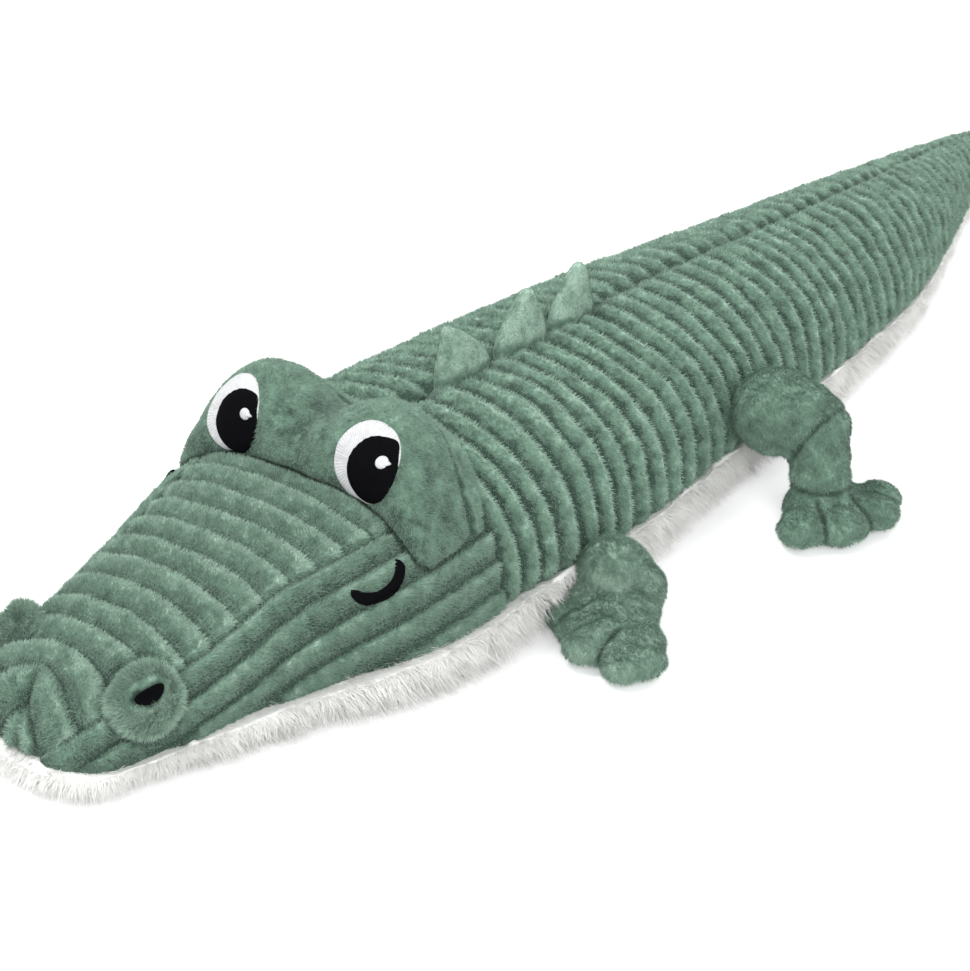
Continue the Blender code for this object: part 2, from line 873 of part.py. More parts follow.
def make_eyes(materials, brow_offsets, seat):
    """White crescent, pupil and glint of both eyes, which look to the animal's left."""
    for name, side in (("left", 1), ("right", -1)):
        frame = eye_frame(side)
        base, middle, upper, top = brow_offsets
        white = make_patch(
            "eye_white_" + name, ellipse(eye_half_width, eye_half_height), frame, middle, base,
            materials["white_thread"],
        )
        pupil = ellipse(pupil_half_width, pupil_half_height, pupil_shift, -pupil_drop)
        room = ellipse(
            pupil_half_width + seam_gap, pupil_half_height + seam_gap, pupil_shift, -pupil_drop,
        )
        centre, right, up = frame
        hole = prism("pupil_room_" + name, room, centre, right, up, 2 * eye_half_width)
        combine(white, cutter(hole), "DIFFERENCE")
        black = make_patch("eye_pupil_" + name, pupil, frame, middle, base, materials["black_thread"])
        glint = ellipse(
            glint_radius, glint_radius,
            pupil_shift + pupil_half_width * glint_shift_share, pupil_half_height * glint_lift_share,
            glint_points,
        )
        make_patch("eye_glint_" + name, glint, frame, top, upper, materials["white_thread"])
        for patch in (white, black):
            combine(patch, seat, "DIFFERENCE")


def surface_frame(place, turn):
    """Centre, backward axis and upward axis of the dome's surface at a place."""
    step = cover_thickness
    centre = dome_point(place, turn)
    back = dome_point(place + step, turn) - dome_point(place - step, turn)
    back.normalize()
    bend = step / half_width_at(place)
    up = dome_point(place, turn + bend) - dome_point(place, turn - bend)
    normal = back.cross(up)
    if turn > quarter_turn:
        up = -up
        normal = -normal
    normal.normalize()
    up = normal.cross(back)
    up.normalize()
    return centre, back, up


def make_nostrils(materials, seat):
    """Puffy pad at each corner of the nose, with a stitched slit on its top."""
    for name, turn in (("left", nostril_turn), ("right", half_turn - nostril_turn)):
        centre, back, up = surface_frame(nostril_place, turn)
        normal = back.cross(up)
        if normal.z < 0:
            normal = -normal
        shape = Matrix((back, up, normal)).transposed().to_4x4()

        def pad_body(label, grow, material=None):
            builder = bmesh.new()
            bmesh.ops.create_uvsphere(
                builder, u_segments=ball_segments, v_segments=ball_segments // 2, radius=1.0,
            )
            size = (nostril_pad_half_length + grow, nostril_pad_half_width + grow, nostril_pad_rise + grow)
            bmesh.ops.scale(builder, vec=size, verts=builder.verts)
            bmesh.ops.transform(builder, matrix=Matrix.Translation(centre) @ shape, verts=builder.verts)
            finish(builder)
            return new_object(label, builder, material)

        combine(pad_body("nostril_pad_" + name, 0.0, materials["plush"]), seat, "DIFFERENCE")
        inside = cutter(pad_body("nostril_inside_" + name, seat_gap))
        slit = ellipse(nostril_slit_half_length, nostril_slit_half_width)
        depth = nostril_pad_rise / 2
        lifted = centre + normal * (nostril_pad_rise + seat_gap + thread_thickness - depth)
        stitch = prism(
            "nostril_stitch_" + name, slit, lifted, back, up, depth, materials["black_thread"],
        )
        combine(stitch, inside, "DIFFERENCE")


def make_smiles(material, outside, inside):
    """Stitched hook of the smile on each cheek."""
    for name, turn in (("left", smile_turn), ("right", half_turn - smile_turn)):
        centre, back, up = surface_frame(smile_place, turn)
        outer, inner = [], []
        for step in range(smile_steps + 1):
            part = step / smile_steps
            angle = smile_start + (smile_end - smile_start) * part
            swell = smile_end_share + (1 - smile_end_share) * math.sin(half_turn * part)
            for run, radius in ((outer, smile_radius + smile_half_width * swell),
                                (inner, smile_radius - smile_half_width * swell)):
                run.append((radius * math.cos(angle), radius * math.sin(angle)))
        outline = outer + inner[::-1]
        axes = (centre, back, up)
        make_patch("smile_stitch_" + name, outline, axes, outside, inside, material)


# Spikes of the back

def make_spike(name, place, length, lean, seat, material):
    """Puffy fin that stands in the back seam and leans along it."""
    top = on_curve(HEIGHTS, place)
    drift = drift_at(place)
    rings = []
    for level, width in zip(spike_level_shares, spike_width_shares):
        shift = lean * max(level, 0.0) ** spike_bend_power
        ring = []
        for point in range(spike_points):
            angle = 2 * half_turn * point / spike_points
            along = length / 2 * width * math.cos(angle)
            across = spike_thickness / 2 * math.sqrt(width) * math.sin(angle)
            ring.append(Vector((drift + across, place + shift + along, top + spike_height * level)))
        rings.append(ring)
    spike = loft(name, rings, material)
    return combine(spike, seat, "DIFFERENCE")


# Legs

def run_rings(near, far, inset):
    """Rings of a straight tapered run between two joint balls, slightly thinner than the balls."""
    run = far[0] - near[0]
    run.normalize()
    side = run.cross(Vector((0, 0, 1)))
    side.normalize()
    up = side.cross(run)
    rings = []
    for end, (centre, radius, half_height) in ((0, near), (1, far)):
        half_width = radius * run_share - inset
        upright = half_height + (radius - half_height) * abs(run.z)
        half_up = upright * run_share - inset
        middle = centre - run * inset * end
        ring = []
        for point in range(tube_points):
            angle = 2 * half_turn * point / tube_points
            ring.append(middle + side * half_width * math.cos(angle) + up * half_up * math.sin(angle))
        rings.append(ring)
    return rings


def make_limb(name, joints, inset, root_count, ball_count, material=None):
    """Balls at the root and the bend, with straight tapered runs as far as the paw."""
    body = spheroid(name, joints[0][0], joints[0][1] - inset, joints[0][2] - inset, root_count, material)
    for index in range(1, len(joints)):
        run = loft(name + "_run_" + str(index), run_rings(joints[index - 1], joints[index], inset))
        combine(body, cutter(run), "UNION")
    for centre, radius, half_height in joints[1:-1]:
        ball = spheroid(name + "_joint", centre, radius - inset, half_height - inset, ball_count)
        combine(body, cutter(ball), "UNION")
    return body


def foot_rings(centre, half_across, half_along, height, toe_start, toe_step, inset):
    """Rings of a paw from its flat sole to its crown, with rounded toes on one side of its cover."""
    toe_span = toe_step * toe_count
    points = foot_hollow_points if inset else foot_points
    rings = []
    for ring_share, rise_share in foot_ring_shares:
        ring = []
        for point in range(points):
            angle = 2 * half_turn * point / points
            from_toes = (angle - toe_start + toe_step / 2) % (2 * half_turn)
            reach = 1.0
            if inset:
                reach -= toe_depth_share
            elif from_toes < toe_span:
                groove = abs(math.cos(half_turn * from_toes / toe_step))
                reach -= toe_depth_share * ring_share * groove ** toe_groove_power
            across = (half_across - inset) * ring_share * reach * math.cos(angle)
            along = (half_along - inset) * ring_share * reach * math.sin(angle)
            rise = inset + (height - 2 * inset) * rise_share
            ring.append(Vector((centre.x + across, centre.y + along, rise)))
        rings.append(ring)
    return rings


def make_foot(name, foot, inset, material=None):
    centre, half_across, half_along, height, toe_start, toe_step = foot
    rings = foot_rings(centre, half_across, half_along, height, toe_start, toe_step, inset)
    bottom = Vector((centre.x, centre.y, inset))
    top = Vector((centre.x, centre.y, height - inset))
    return pole_loft(name, rings, bottom, top, material)


def root_plug(name, centre, end, radius):
    """Short round plug from the ball's centre out through its inner side."""
    rings = []
    for across in (-end, 0.0):
        ring = []
        for point in range(tube_points):
            angle = 2 * half_turn * point / tube_points
            ring.append(centre + Vector((across, radius * math.cos(angle), radius * math.sin(angle))))
        rings.append(ring)
    return cutter(loft(name, rings))


def make_leg(name, joints, foot, materials):
    """Leg of the left side about its hinge: a cover with its paw, and a filling that shows at the root."""
    centre, radius, _ = joints[0]
    cover = make_limb(name + "_cover", joints, 0.0, root_segments, ball_segments, materials["plush"])
    combine(cover, cutter(make_foot(name + "_foot", foot, 0.0)), "UNION")
    hollow = make_limb(name + "_hollow", joints, leg_cover_thickness, hollow_segments, hollow_segments)
    combine(hollow, cutter(make_foot(name + "_foot_hollow", foot, leg_cover_thickness)), "UNION")
    opening = root_plug(name + "_opening", centre, radius + cutter_overrun, leg_opening_radius + seat_gap)
    combine(hollow, opening, "UNION")
    combine(cover, cutter(hollow), "DIFFERENCE")
    inset = leg_cover_thickness + seat_gap
    filling = make_limb(
        name + "_filling", joints, inset, hollow_segments, hollow_segments, materials["filling"],
    )
    combine(filling, cutter(make_foot(name + "_foot_filling", foot, inset)), "UNION")
    plug = root_plug(name + "_plug", centre, radius - cutter_overrun, leg_opening_radius)
    combine(filling, plug, "UNION")
    return cover, filling


def front_leg_shape():
    """Joint balls and paw of the left front leg, about its hinge axis."""
    root = Vector((0, 0, front_root_height))
    elbow = Vector((front_elbow_reach, front_elbow_trail, front_elbow_height))
    wrist = Vector((front_wrist_reach, -front_wrist_lead, front_wrist_height))
    joints = (
        (root, front_root_radius, front_root_half_height),
        (elbow, front_elbow_radius, front_elbow_half_height),
        (wrist, front_wrist_radius, front_wrist_half_height),
    )
    foot_centre = Vector((front_foot_reach, -front_foot_lead, 0))
    foot = (
        foot_centre, front_foot_half_width, front_foot_half_length, front_foot_height,
        front_toe_start, front_toe_step,
    )
    return joints, foot


def hind_leg_shape():
    """Joint balls and paw of the left hind leg, about its hinge axis."""
    root = Vector((0, 0, hind_root_height))
    knee = Vector((hind_knee_reach, -hind_knee_lead, hind_knee_height))
    ankle = Vector((hind_ankle_reach, -hind_ankle_lead, hind_ankle_height))
    joints = (
        (root, hind_root_radius, hind_root_half_height),
        (knee, hind_knee_radius, hind_knee_half_height),
        (ankle, hind_ankle_radius, hind_ankle_half_height),
    )
    foot_centre = Vector((hind_foot_reach, -hind_foot_lead, 0))
    foot = (
        foot_centre, hind_foot_half_width, hind_foot_half_length, hind_foot_height,
        hind_toe_start, hind_toe_step,
    )
    return joints, foot


def flat_leg_shape():
    """Joint balls and paw of the flat hind leg, given for the left side."""
    root = Vector((0, 0, flat_root_height))
    knee = Vector((flat_knee_reach, -flat_knee_lead, flat_knee_height))
    ankle = Vector((flat_ankle_reach, -flat_ankle_lead, flat_ankle_height))
    joints = (
        (root, hind_root_radius, flat_root_half_height),
        (knee, flat_knee_radius, flat_knee_half_height),
        (ankle, flat_ankle_radius, flat_ankle_half_height),
    )
    foot_centre = Vector((flat_foot_reach, -flat_foot_lead, 0))
    foot = (
        foot_centre, hind_foot_half_width, hind_foot_half_length, flat_foot_height,
        hind_toe_start, hind_toe_step,
    )
    return joints, foot


def root_across(place, radius):
    """Distance of a leg's hinge from the body's centre line."""
    return half_width_at(place) + radius - root_sink


def solid_mesh(body):
    """Finished mesh of an object with its Booleans carried out."""
    bpy.context.view_layer.update()
    return bpy.data.meshes.new_from_object(body.evaluated_get(bpy.context.evaluated_depsgraph_get()))


def for_right_side(mesh, turned):
    """The same mesh for the right side of the animal, mirrored or turned to point back."""
    along = -1 if turned else 1
    builder = bmesh.new()
    builder.from_mesh(mesh)
    bmesh.ops.scale(builder, vec=(-1, along, 1), verts=builder.verts)
    if not turned:
        bmesh.ops.reverse_faces(builder, faces=builder.faces)
    copy = mesh.copy()
    builder.to_mesh(copy)
    builder.free()
    return copy


def leg_meshes(name, shape, materials):
    """Finished meshes of a leg's cover and filling, about its hinge."""
    joints, foot = shape
    pieces = make_leg(name, joints, foot, materials)
    meshes = [solid_mesh(piece) for piece in pieces]
    for piece in pieces:
        bpy.data.objects.remove(piece)
    return meshes


def hang_leg(name, side, place, root, meshes, frame):
    """Leg under an empty on its hinge axis beside the body."""
    hinge = bpy.data.objects.new(name + "_hinge", None)
    hinge.location = (drift_at(place) + side * root_across(place, root[1]), place, 0)
    hinge.parent = frame
    bpy.context.scene.collection.objects.link(hinge)
    for kind, mesh in zip(("cover", "filling"), meshes):
        body = bpy.data.objects.new(name + "_" + kind, mesh)
        body.parent = hinge
        bpy.context.scene.collection.objects.link(body)
    return hinge, root


def place_legs(materials, frame):
    """All four legs, each with its hinge and its root ball."""
    front, hind, flat = front_leg_shape(), hind_leg_shape(), flat_leg_shape()
    front_meshes = leg_meshes("front_leg", front, materials)
    hind_meshes = leg_meshes("hind_leg", hind, materials)
    flat_meshes = leg_meshes("flat_leg", flat, materials)
    turned_meshes = [for_right_side(mesh, True) for mesh in front_meshes]
    mirrored_meshes = [for_right_side(mesh, False) for mesh in flat_meshes]
    return [
        hang_leg("front_leg_left", 1, front_leg_place, front[0][0], front_meshes, frame),
        hang_leg("front_leg_right", -1, front_leg_place, front[0][0], turned_meshes, frame),
        hang_leg("hind_leg_left", 1, hind_leg_place, hind[0][0], hind_meshes, frame),
        hang_leg("hind_leg_right", -1, hind_leg_place, flat[0][0], mirrored_meshes, frame),
    ]


def cut_root_seats(covers, roots):
    """Shallow seats in the covers, in which the balls of the legs turn."""
    for hinge, (centre, radius, half_height) in roots:
        seat = spheroid(
            hinge.name + "_seat", hinge.location + centre, radius + swing_gap, half_height + swing_gap,
            root_segments,
        )
        cutter(seat)
        for cover in covers:
            if (cover.name.endswith("left") and hinge.location.x < 0) or (
                cover.name.endswith("right") and hinge.location.x > 0
            ):
                continue
            combine(cover, seat, "DIFFERENCE")


def centre_on_floor(frame):
    """Move the frame so that the middle of the toy's box stands over the origin."""
    bpy.context.view_layer.update()
    graph = bpy.context.evaluated_depsgraph_get()
    corners = []
    for body in bpy.data.objects:
        if body.type == "MESH" and not body.hide_render:
            shape = body.evaluated_get(graph)
            corners += [shape.matrix_world @ vertex.co for vertex in shape.data.vertices]
    low = [min(corner[axis] for corner in corners) for axis in range(3)]
    high = [max(corner[axis] for corner in corners) for axis in range(3)]
    frame.location = (-(low[0] + high[0]) / 2, -(low[1] + high[1]) / 2, -low[2])


def main():
    for body in list(bpy.data.objects):
        bpy.data.objects.remove(body)
    materials = {
        "plush": cloth("smooth_plush", (0.105, 0.215, 0.165), 0.9),
        "ribbed": cloth("ribbed_plush", (0.125, 0.240, 0.185), 0.9),
        "fur": cloth("white_fur", (0.82, 0.80, 0.76), 0.95),
        "filling": cloth("polyester_filling", (0.85, 0.85, 0.83), 0.95),
        "white_thread": cloth("white_thread", (0.90, 0.90, 0.90), 0.5),
        "black_thread": cloth("black_thread", (0.012, 0.012, 0.014), 0.6),
    }
    frame = bpy.data.objects.new("toy_frame", None)
    bpy.context.scene.collection.objects.link(frame)

    head_seat = head_envelope("head_seat", seat_gap)
    stitch_top = head_envelope("head_stitch_top", seat_gap + thread_thickness)
    trunk_seat = trunk_envelope("trunk_seat", seat_gap)
    make_snout_top(materials["ribbed"])
    make_snout_side("snout_side_panel_left", 1, materials["ribbed"])
    make_snout_side("snout_side_panel_right", -1, materials["ribbed"])
    make_chin(materials["fur"])
    make_filling(materials["filling"])
    belly = make_belly(materials["fur"])
    back_left = make_back("back_panel_left", 1, materials["ribbed"])
    back_right = make_back("back_panel_right", -1, materials["ribbed"])

    make_brow(materials["plush"], materials["filling"], head_seat)
    layer = seat_gap + thread_thickness
    brow_offsets = []
    for grow in (seat_gap, layer, layer + seat_gap, 2 * layer):
        brow_offsets.append(cutter(loft("brow_offset", brow_sections(-grow, 0.0))))
    make_eyes(materials, brow_offsets, head_seat)
    make_nostrils(materials, head_seat)
    make_smiles(materials["black_thread"], stitch_top, head_seat)

    middle_spike_place = front_spike_place + middle_spike_spacing
    rear_spike_place = middle_spike_place + rear_spike_spacing
    spikes = (
        ("front", front_spike_place, front_spike_length, front_spike_lean),
        ("middle", middle_spike_place, middle_spike_length, middle_spike_lean),
        ("rear", rear_spike_place, rear_spike_length, rear_spike_lean),
    )
    for name, place, length, lean in spikes:
        make_spike("spine_spike_" + name, place, length, lean, trunk_seat, materials["plush"])

    for body in bpy.data.objects:
        if body != frame:
            body.parent = frame
    roots = place_legs(materials, frame)
    cut_root_seats((back_left, back_right, belly), roots)
    for body in bpy.data.objects:
        if body.parent is None and body != frame:
            body.parent = frame
    centre_on_floor(frame)


main()
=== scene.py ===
"""Looks of a plush crocodile: ribbed covers, smooth padded pieces, white fur, eyes and stitches.

Places are distances behind the nose tip, and turns go round the body from the left hem (0)
over the spine (90 degrees) to the right hem. All lengths are in metres.
"""

import json
import math
import bmesh
import bpy
import numpy as np
from mathutils import Matrix, Vector
from mathutils.bvhtree import BVHTree

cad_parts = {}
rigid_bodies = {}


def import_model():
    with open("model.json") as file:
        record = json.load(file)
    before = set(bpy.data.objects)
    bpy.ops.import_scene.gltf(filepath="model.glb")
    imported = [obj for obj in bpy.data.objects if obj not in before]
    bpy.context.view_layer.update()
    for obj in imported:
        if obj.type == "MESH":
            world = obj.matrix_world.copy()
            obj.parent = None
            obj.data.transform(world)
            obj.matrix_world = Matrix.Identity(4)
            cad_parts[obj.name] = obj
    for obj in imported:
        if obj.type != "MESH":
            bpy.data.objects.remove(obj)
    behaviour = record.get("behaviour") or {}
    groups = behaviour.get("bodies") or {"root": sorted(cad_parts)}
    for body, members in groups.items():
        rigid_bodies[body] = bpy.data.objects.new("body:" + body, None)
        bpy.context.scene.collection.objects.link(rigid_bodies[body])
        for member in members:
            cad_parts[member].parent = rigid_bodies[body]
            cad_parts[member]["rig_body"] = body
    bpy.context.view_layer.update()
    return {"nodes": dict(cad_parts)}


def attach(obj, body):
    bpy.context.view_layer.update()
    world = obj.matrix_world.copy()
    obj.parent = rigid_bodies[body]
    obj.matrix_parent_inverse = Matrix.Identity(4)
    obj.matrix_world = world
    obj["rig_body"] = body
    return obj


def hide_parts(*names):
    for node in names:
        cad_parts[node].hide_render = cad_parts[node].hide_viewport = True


bl_info = {
    "name": "Plush crocodile",
    "version": (1, 0, 0),
    "blender": (4, 5, 0),
    "location": "3D View > Sidebar > Plush",
    "description": "Dresses a flat lying plush crocodile with its cloth, fur, eyes and stitches",
    "category": "Object",
}

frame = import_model()

MM = 0.001
CENTRE = np.array((0.38, -316.0, 0.0)) * MM

# Camera at the photograph's angle
CAMERA_PLACE = (0.46588, -0.6708, 0.3680)
CAMERA_TURN = (64.0, 0.0, 40.0)
CAMERA_LENS = 92.78

# The body at its stations, as in the solid part: half width, height of the top and of the hem,
# sideways drift, how far the white underside stands out, and roundness
STATIONS = np.cumsum((0, 26, 38, 48, 38, 60, 80, 80, 75, 103, 84)) * MM
HALF_WIDTHS = np.array((25, 30.5, 39, 54, 57, 58, 50.5, 42, 32.5, 16, 6.5)) * MM
HEIGHTS = np.array((27.5, 32.5, 42, 52, 57, 58.5, 58.5, 55.5, 50, 34, 17)) * MM
HEMS = np.array((0.60, 0.63, 0.73, 0.87, 1, 1, 1, 1, 0.95, 0.80, 0.45)) * 15 * MM
DRIFTS = -np.array((0, 0, 0, 0, 0, 0.03, 0.10, 0.15, 0.27, 0.67, 1)) * 57 * MM
OVERHANGS = np.array((0.75, 0.80, 1, 1.2, 0.60, 0.25, 0.20, 0.20, 0.20, 0.18, 0.15)) * 6 * MM
POWERS = np.array((2.3, 2.5, 2.75, 2.75, 2.55, 2.45, 2.35, 2.3, 2.3, 2.3, 2.3))
SEAM_STATIONS = np.array((0, 40, 48, 58, 68, 78, 120, 155)) * MM
SEAM_TURNS = np.radians((36, 38, 40, 44, 49, 51.5, 52.5, 52.5))
DOME_START = 4 * MM
NECK_LAP = 9 * MM
NECK = 150 * MM
TAIL_END = 630 * MM
LENGTH = 632 * MM
TIP_ROUND = 14 * MM
HALF_TURN = math.pi
QUARTER_TURN = math.pi / 2
SIDES = (("left", 1), ("right", -1))

# Cloth: walls, widths of the strands, and how dark the painted shade and how light the painted highlight may
# be
CLOTH_WALL = 1.2 * MM
FUR_WALL = 0.8 * MM
PILE_WIDTH = 0.18 * MM
FINE_PILE_WIDTH = 0.13 * MM
FUR_WIDTH = 0.17 * MM
THREAD_WIDTH = 0.12 * MM
FLOOR_GAP = 0.15 * MM
LIGHTEST, DARKEST = -0.5, 1.3
SHEEN_TINT = (0.75, 0.95, 0.85)

# Numbers of strands
SNOUT_STRANDS = 95000
CHEEK_STRANDS = 42000
BACK_STRANDS = 95000
BROW_STRANDS = 52000
LEG_STRANDS = 34000
NOSTRIL_STRANDS = 12000
SPIKE_STRANDS = 7000
CHIN_STRANDS = 26000
BELLY_STRANDS = 40000

# Brow, with ends a little wider and lower than in the solid part: its shape, and then the
# spread, rise, depth and drop at steps from either end to its middle
BROW_PLACE = 129.5 * MM
BROW_HALF_WIDTH = 51.8 * MM
BROW_RISE = 20.8 * MM
BROW_DEPTH = 38 * MM
BROW_LIFT = 1.8 * MM
BROW_DROP = 24 * MM
BROW_FORWARD = 3.0 * MM
BROW_SINK = 1.2 * MM
BROW_SPREADS = (1, 0.955, 0.86, 0.73, 0.545, 0.33, 0.16, 0)
BROW_RISES = (0.26, 0.38, 0.62, 0.87, 1, 0.88, 0.62, 0.48)
BROW_DEPTHS = (0.50, 0.80, 0.92, 0.92, 0.90, 0.90, 0.97, 1)
BROW_DROPS = (0.86, 0.77, 0.55, 0.27, 0.09, 0.03, 0, 0)

# Eyes on the front of the brow: middle of the left eye, turns, and half sizes
EYE_MIDDLE = (27 * MM, 110.5 * MM, 63.0 * MM)
EYE_OUTWARD = math.radians(6)
EYE_UPWARD = math.radians(14)
EYE_HALF = (10.8 * MM, 12.0 * MM)
PUPIL_HALF = (8.3 * MM, 10.0 * MM)
PUPIL_SHIFT = (2.7 * MM, -1.2 * MM)
GLINT_HALF = 1.9 * MM

# Marks of the snout: place and turn
NOSTRIL = (27 * MM, math.radians(34))
NOSTRIL_HALF = (9.5 * MM, 8.5 * MM, 5.6 * MM)
SMILE = (101 * MM, math.radians(36.5))
SMILE_RADIUS = 7.4 * MM
SMILE_HALF_WIDTH = 1.9 * MM
SMILE_ANGLES = np.radians((190, 372))

# Hinge axes of the legs: where they stand on the floor
FRONT_LEFT = (67.86 * MM, -136 * MM)
FRONT_RIGHT = (-68.45 * MM, -136 * MM)
HIND_LEFT = (60.50 * MM, -40 * MM)
HIND_RIGHT = (-69.84 * MM, -40 * MM)

# Balls that a left leg is made from, about its hinge: centre and half sizes, in millimetres
FRONT_BALLS = (
    ((0.4, 0, 14.8), (11.4, 11.4, 10.6)),
    ((6.2, 2.2, 9.8), (10, 10, 8.5)),
    ((9, -9, 8), (13, 12, 7)),
    ((10, -15, 6.5), (14.5, 14, 6.2)),
    ((20, -22, 5.6), (11, 9, 5.2)),
    ((5, -22, 5.2), (9, 8, 4.8)),
    ((17, -26, 4.8), (9, 7, 4.4)),
    ((-3.6, -19.5, 6), (6, 6, 5)),
    ((11.5, -29, 5.5), (6, 8, 5)),
    ((26.5, -30, 5), (7, 7.5, 4.8)),
    ((31, -24, 4.8), (5.5, 6, 4.4)),
    ((-1.6, -10, 9), (8.4, 4.6, 4)),
    ((14, -22, 6.4), (13, 9, 5.8)),
    ((22, -27, 5.2), (8, 6, 4.8)),
    ((23.5, -17, 5.6), (7.5, 7.5, 5)),
)
HIND_BALLS = (
    ((0.4, 0, 32), (14.6, 14.6, 14.8)),
    ((8.5, 0, 32), (13, 13, 13.4)),
    ((15.5, 0.5, 31), (11, 11, 11)),
    ((18, -1, 22), (10, 10, 10)),
    ((21, -4, 14.5), (10.2, 10.2, 9)),
    ((24, -4, 6.5), (14, 16, 6.3)),
    ((25.8, -21.5, 6.2), (7.6, 10, 6)),
    ((34.1, -12.2, 6.1), (9.5, 8.5, 5.9)),
    ((38.5, 4, 6), (7.4, 6.3, 5.6)),
    ((32.2, 14.6, 5.8), (8, 6.6, 5.2)),
    ((30, -15, 5.4), (9, 9, 5)),
    ((33, -3, 5.6), (10, 9.5, 5.2)),
    ((33, 8, 5.4), (9, 8, 5)),
)
FLAT_BALLS = (
    ((0.4, 0, 15.5), (14.4, 14.4, 13.4)),
    ((8, -2, 13.2), (12.6, 12.6, 11)),
    ((14, -3, 11), (11.4, 11.4, 8.6)),
    ((16, -10, 8.5), (10.4, 10.4, 6.8)),
    ((17, -13, 6.4), (14, 16, 5.9)),
    ((17, -31, 5.8), (7.4, 9.4, 5.4)),
    ((27, -23, 5.8), (8.4, 8.4, 5.4)),
    ((30, -8, 5.8), (7.4, 6.6, 5.2)),
    ((25, 2, 5.6), (7.6, 6.4, 5)),
)

# Spikes: name, place, length and lean, in millimetres
SPIKES = (("front", 190, 26, -7), ("middle", 220, 26, 3.5), ("rear", 248, 23.5, 4))
SPIKE_HEIGHT = 16.5 * MM
SPIKE_HALF_WIDTH = 4.3 * MM

# Lamps: name, place, size and power, and what they point at
LAMPS = (
    ("key", (-0.7, -0.5, 1.5), 0.9, 21), ("fill", (1.2, -1.0, 0.8), 1.2, 18),
    ("back", (0.1, 1.5, 1.3), 1.2, 10),
)
LIT_POINT = (0, 0, 0.03)
ROOM_LIGHT = 0.68
FLOOR_GLOW = 0.36

# Toes of each kind of foot in order round it, about its hinge, in millimetres
HIND_TOES = ((25.8, -21.5), (34.1, -12.2), (38.5, 4), (32.2, 14.6))
FLAT_TOES = ((17, -31), (27, -23), (30, -8), (25, 2))
FRONT_TOES = ((-3.6, -19.5), (5, -24), (11.5, -29), (26.5, -30))


class PlushShape(bpy.types.PropertyGroup):
    """Sizes of the cloth that a user would change"""
    snout_pitch: bpy.props.FloatProperty(
        name="Snout rib pitch", description="From one rib of the snout to the next", default=9.0 * MM,
        min=3 * MM, unit="LENGTH")
    snout_depth: bpy.props.FloatProperty(
        name="Snout rib depth", description="Height of the snout's ribs", default=2.7 * MM, unit="LENGTH")
    side_pitch: bpy.props.FloatProperty(
        name="Cheek rib pitch", description="From one rib of the cheek to the next", default=8.4 * MM,
        min=3 * MM, unit="LENGTH")
    side_depth: bpy.props.FloatProperty(
        name="Cheek rib depth", description="Height of the cheek's ribs", default=2.1 * MM, unit="LENGTH")
    back_pitch: bpy.props.FloatProperty(
        name="Back rib pitch", description="From one gathered rib of the back to the next",
        default=9.5 * MM, min=3 * MM, unit="LENGTH")
    back_depth: bpy.props.FloatProperty(
        name="Back rib depth", description="Height of the back's ribs", default=4.4 * MM, unit="LENGTH")
    pile_length: bpy.props.FloatProperty(
        name="Pile length", description="Length of the green pile", default=1.8 * MM, unit="LENGTH")
    fur_length: bpy.props.FloatProperty(
        name="Fur length", description="Length of the white fur", default=7.0 * MM, unit="LENGTH")


class PlushColours(bpy.types.PropertyGroup):
    """Colours of the cloth that a user would change"""
    green: bpy.props.FloatVectorProperty(
        name="Green plush", description="Main colour of the plush", subtype="COLOR", size=3,
        default=(0.130, 0.228, 0.165), min=0, max=1)
    # Light green: tips of the pile, and the painted highlight on the crests
    green_light: bpy.props.FloatVectorProperty(
        name="Light green", description="Tips of the pile", subtype="COLOR", size=3,
        default=(0.345, 0.485, 0.390), min=0, max=1)
    # Dark green: the painted shade in the grooves and knit dimples
    green_dark: bpy.props.FloatVectorProperty(
        name="Dark green", description="Depth of the grooves", subtype="COLOR", size=3,
        default=(0.026, 0.056, 0.039), min=0, max=1)
    white: bpy.props.FloatVectorProperty(
        name="White fur", description="Belly fur", subtype="COLOR", size=3,
        default=(0.90, 0.89, 0.865), min=0, max=1)
    thread_white: bpy.props.FloatVectorProperty(
        name="White thread", description="White of the eyes", subtype="COLOR", size=3,
        default=(0.70, 0.70, 0.71), min=0, max=1)
    thread_black: bpy.props.FloatVectorProperty(
        name="Black thread", description="Pupils, nostrils and smile", subtype="COLOR", size=3,
        default=(0.004, 0.004, 0.005), min=0, max=1)


# Smooth curves and noise

def on_curve(values, place):
    """Values at places on a smooth curve through the station values."""
    place = np.asarray(place, float)
    last = len(STATIONS) - 1
    index = np.clip(np.searchsorted(STATIONS, place, side="right") - 1, 0, last - 1)
    before = np.maximum(np.arange(last + 1) - 1, 0)
    after = np.minimum(np.arange(last + 1) + 1, last)
    slopes = (values[after] - values[before]) / (STATIONS[after] - STATIONS[before])
    run = STATIONS[index + 1] - STATIONS[index]
    part = np.clip((place - STATIONS[index]) / run, 0, 1)
    square = part * part
    cube = square * part
    return (
        values[index] * (2 * cube - 3 * square + 1)
        + slopes[index] * run * (cube - 2 * square + part)
        + values[index + 1] * (3 * square - 2 * cube)
        + slopes[index + 1] * run * (cube - square)
    )


def wobble(across, along, seed):
    """Smooth noise from -1 to 1 over a plane, the same at each run."""
    table = np.random.default_rng(seed).uniform(-1, 1, (64, 64))
    left, low = np.floor(across).astype(int), np.floor(along).astype(int)
    part, lift = across - left, along - low
    part, lift = part * part * (3 - 2 * part), lift * lift * (3 - 2 * lift)
    near = table[left % 64, low % 64] * (1 - part) + table[(left + 1) % 64, low % 64] * part
    far = table[left % 64, (low + 1) % 64] * (1 - part) + table[(left + 1) % 64, (low + 1) % 64] * part
    return near * (1 - lift) + far * lift


def ease(value, start, end):
    """Zero before start, one after end, smooth between them."""
    part = np.clip((value - start) / (end - start), 0, 1)
    return part * part * (3 - 2 * part)


def bell(value, width):
    """One at zero, falling smoothly to either side."""
    return np.exp(-(value / width) ** 2)


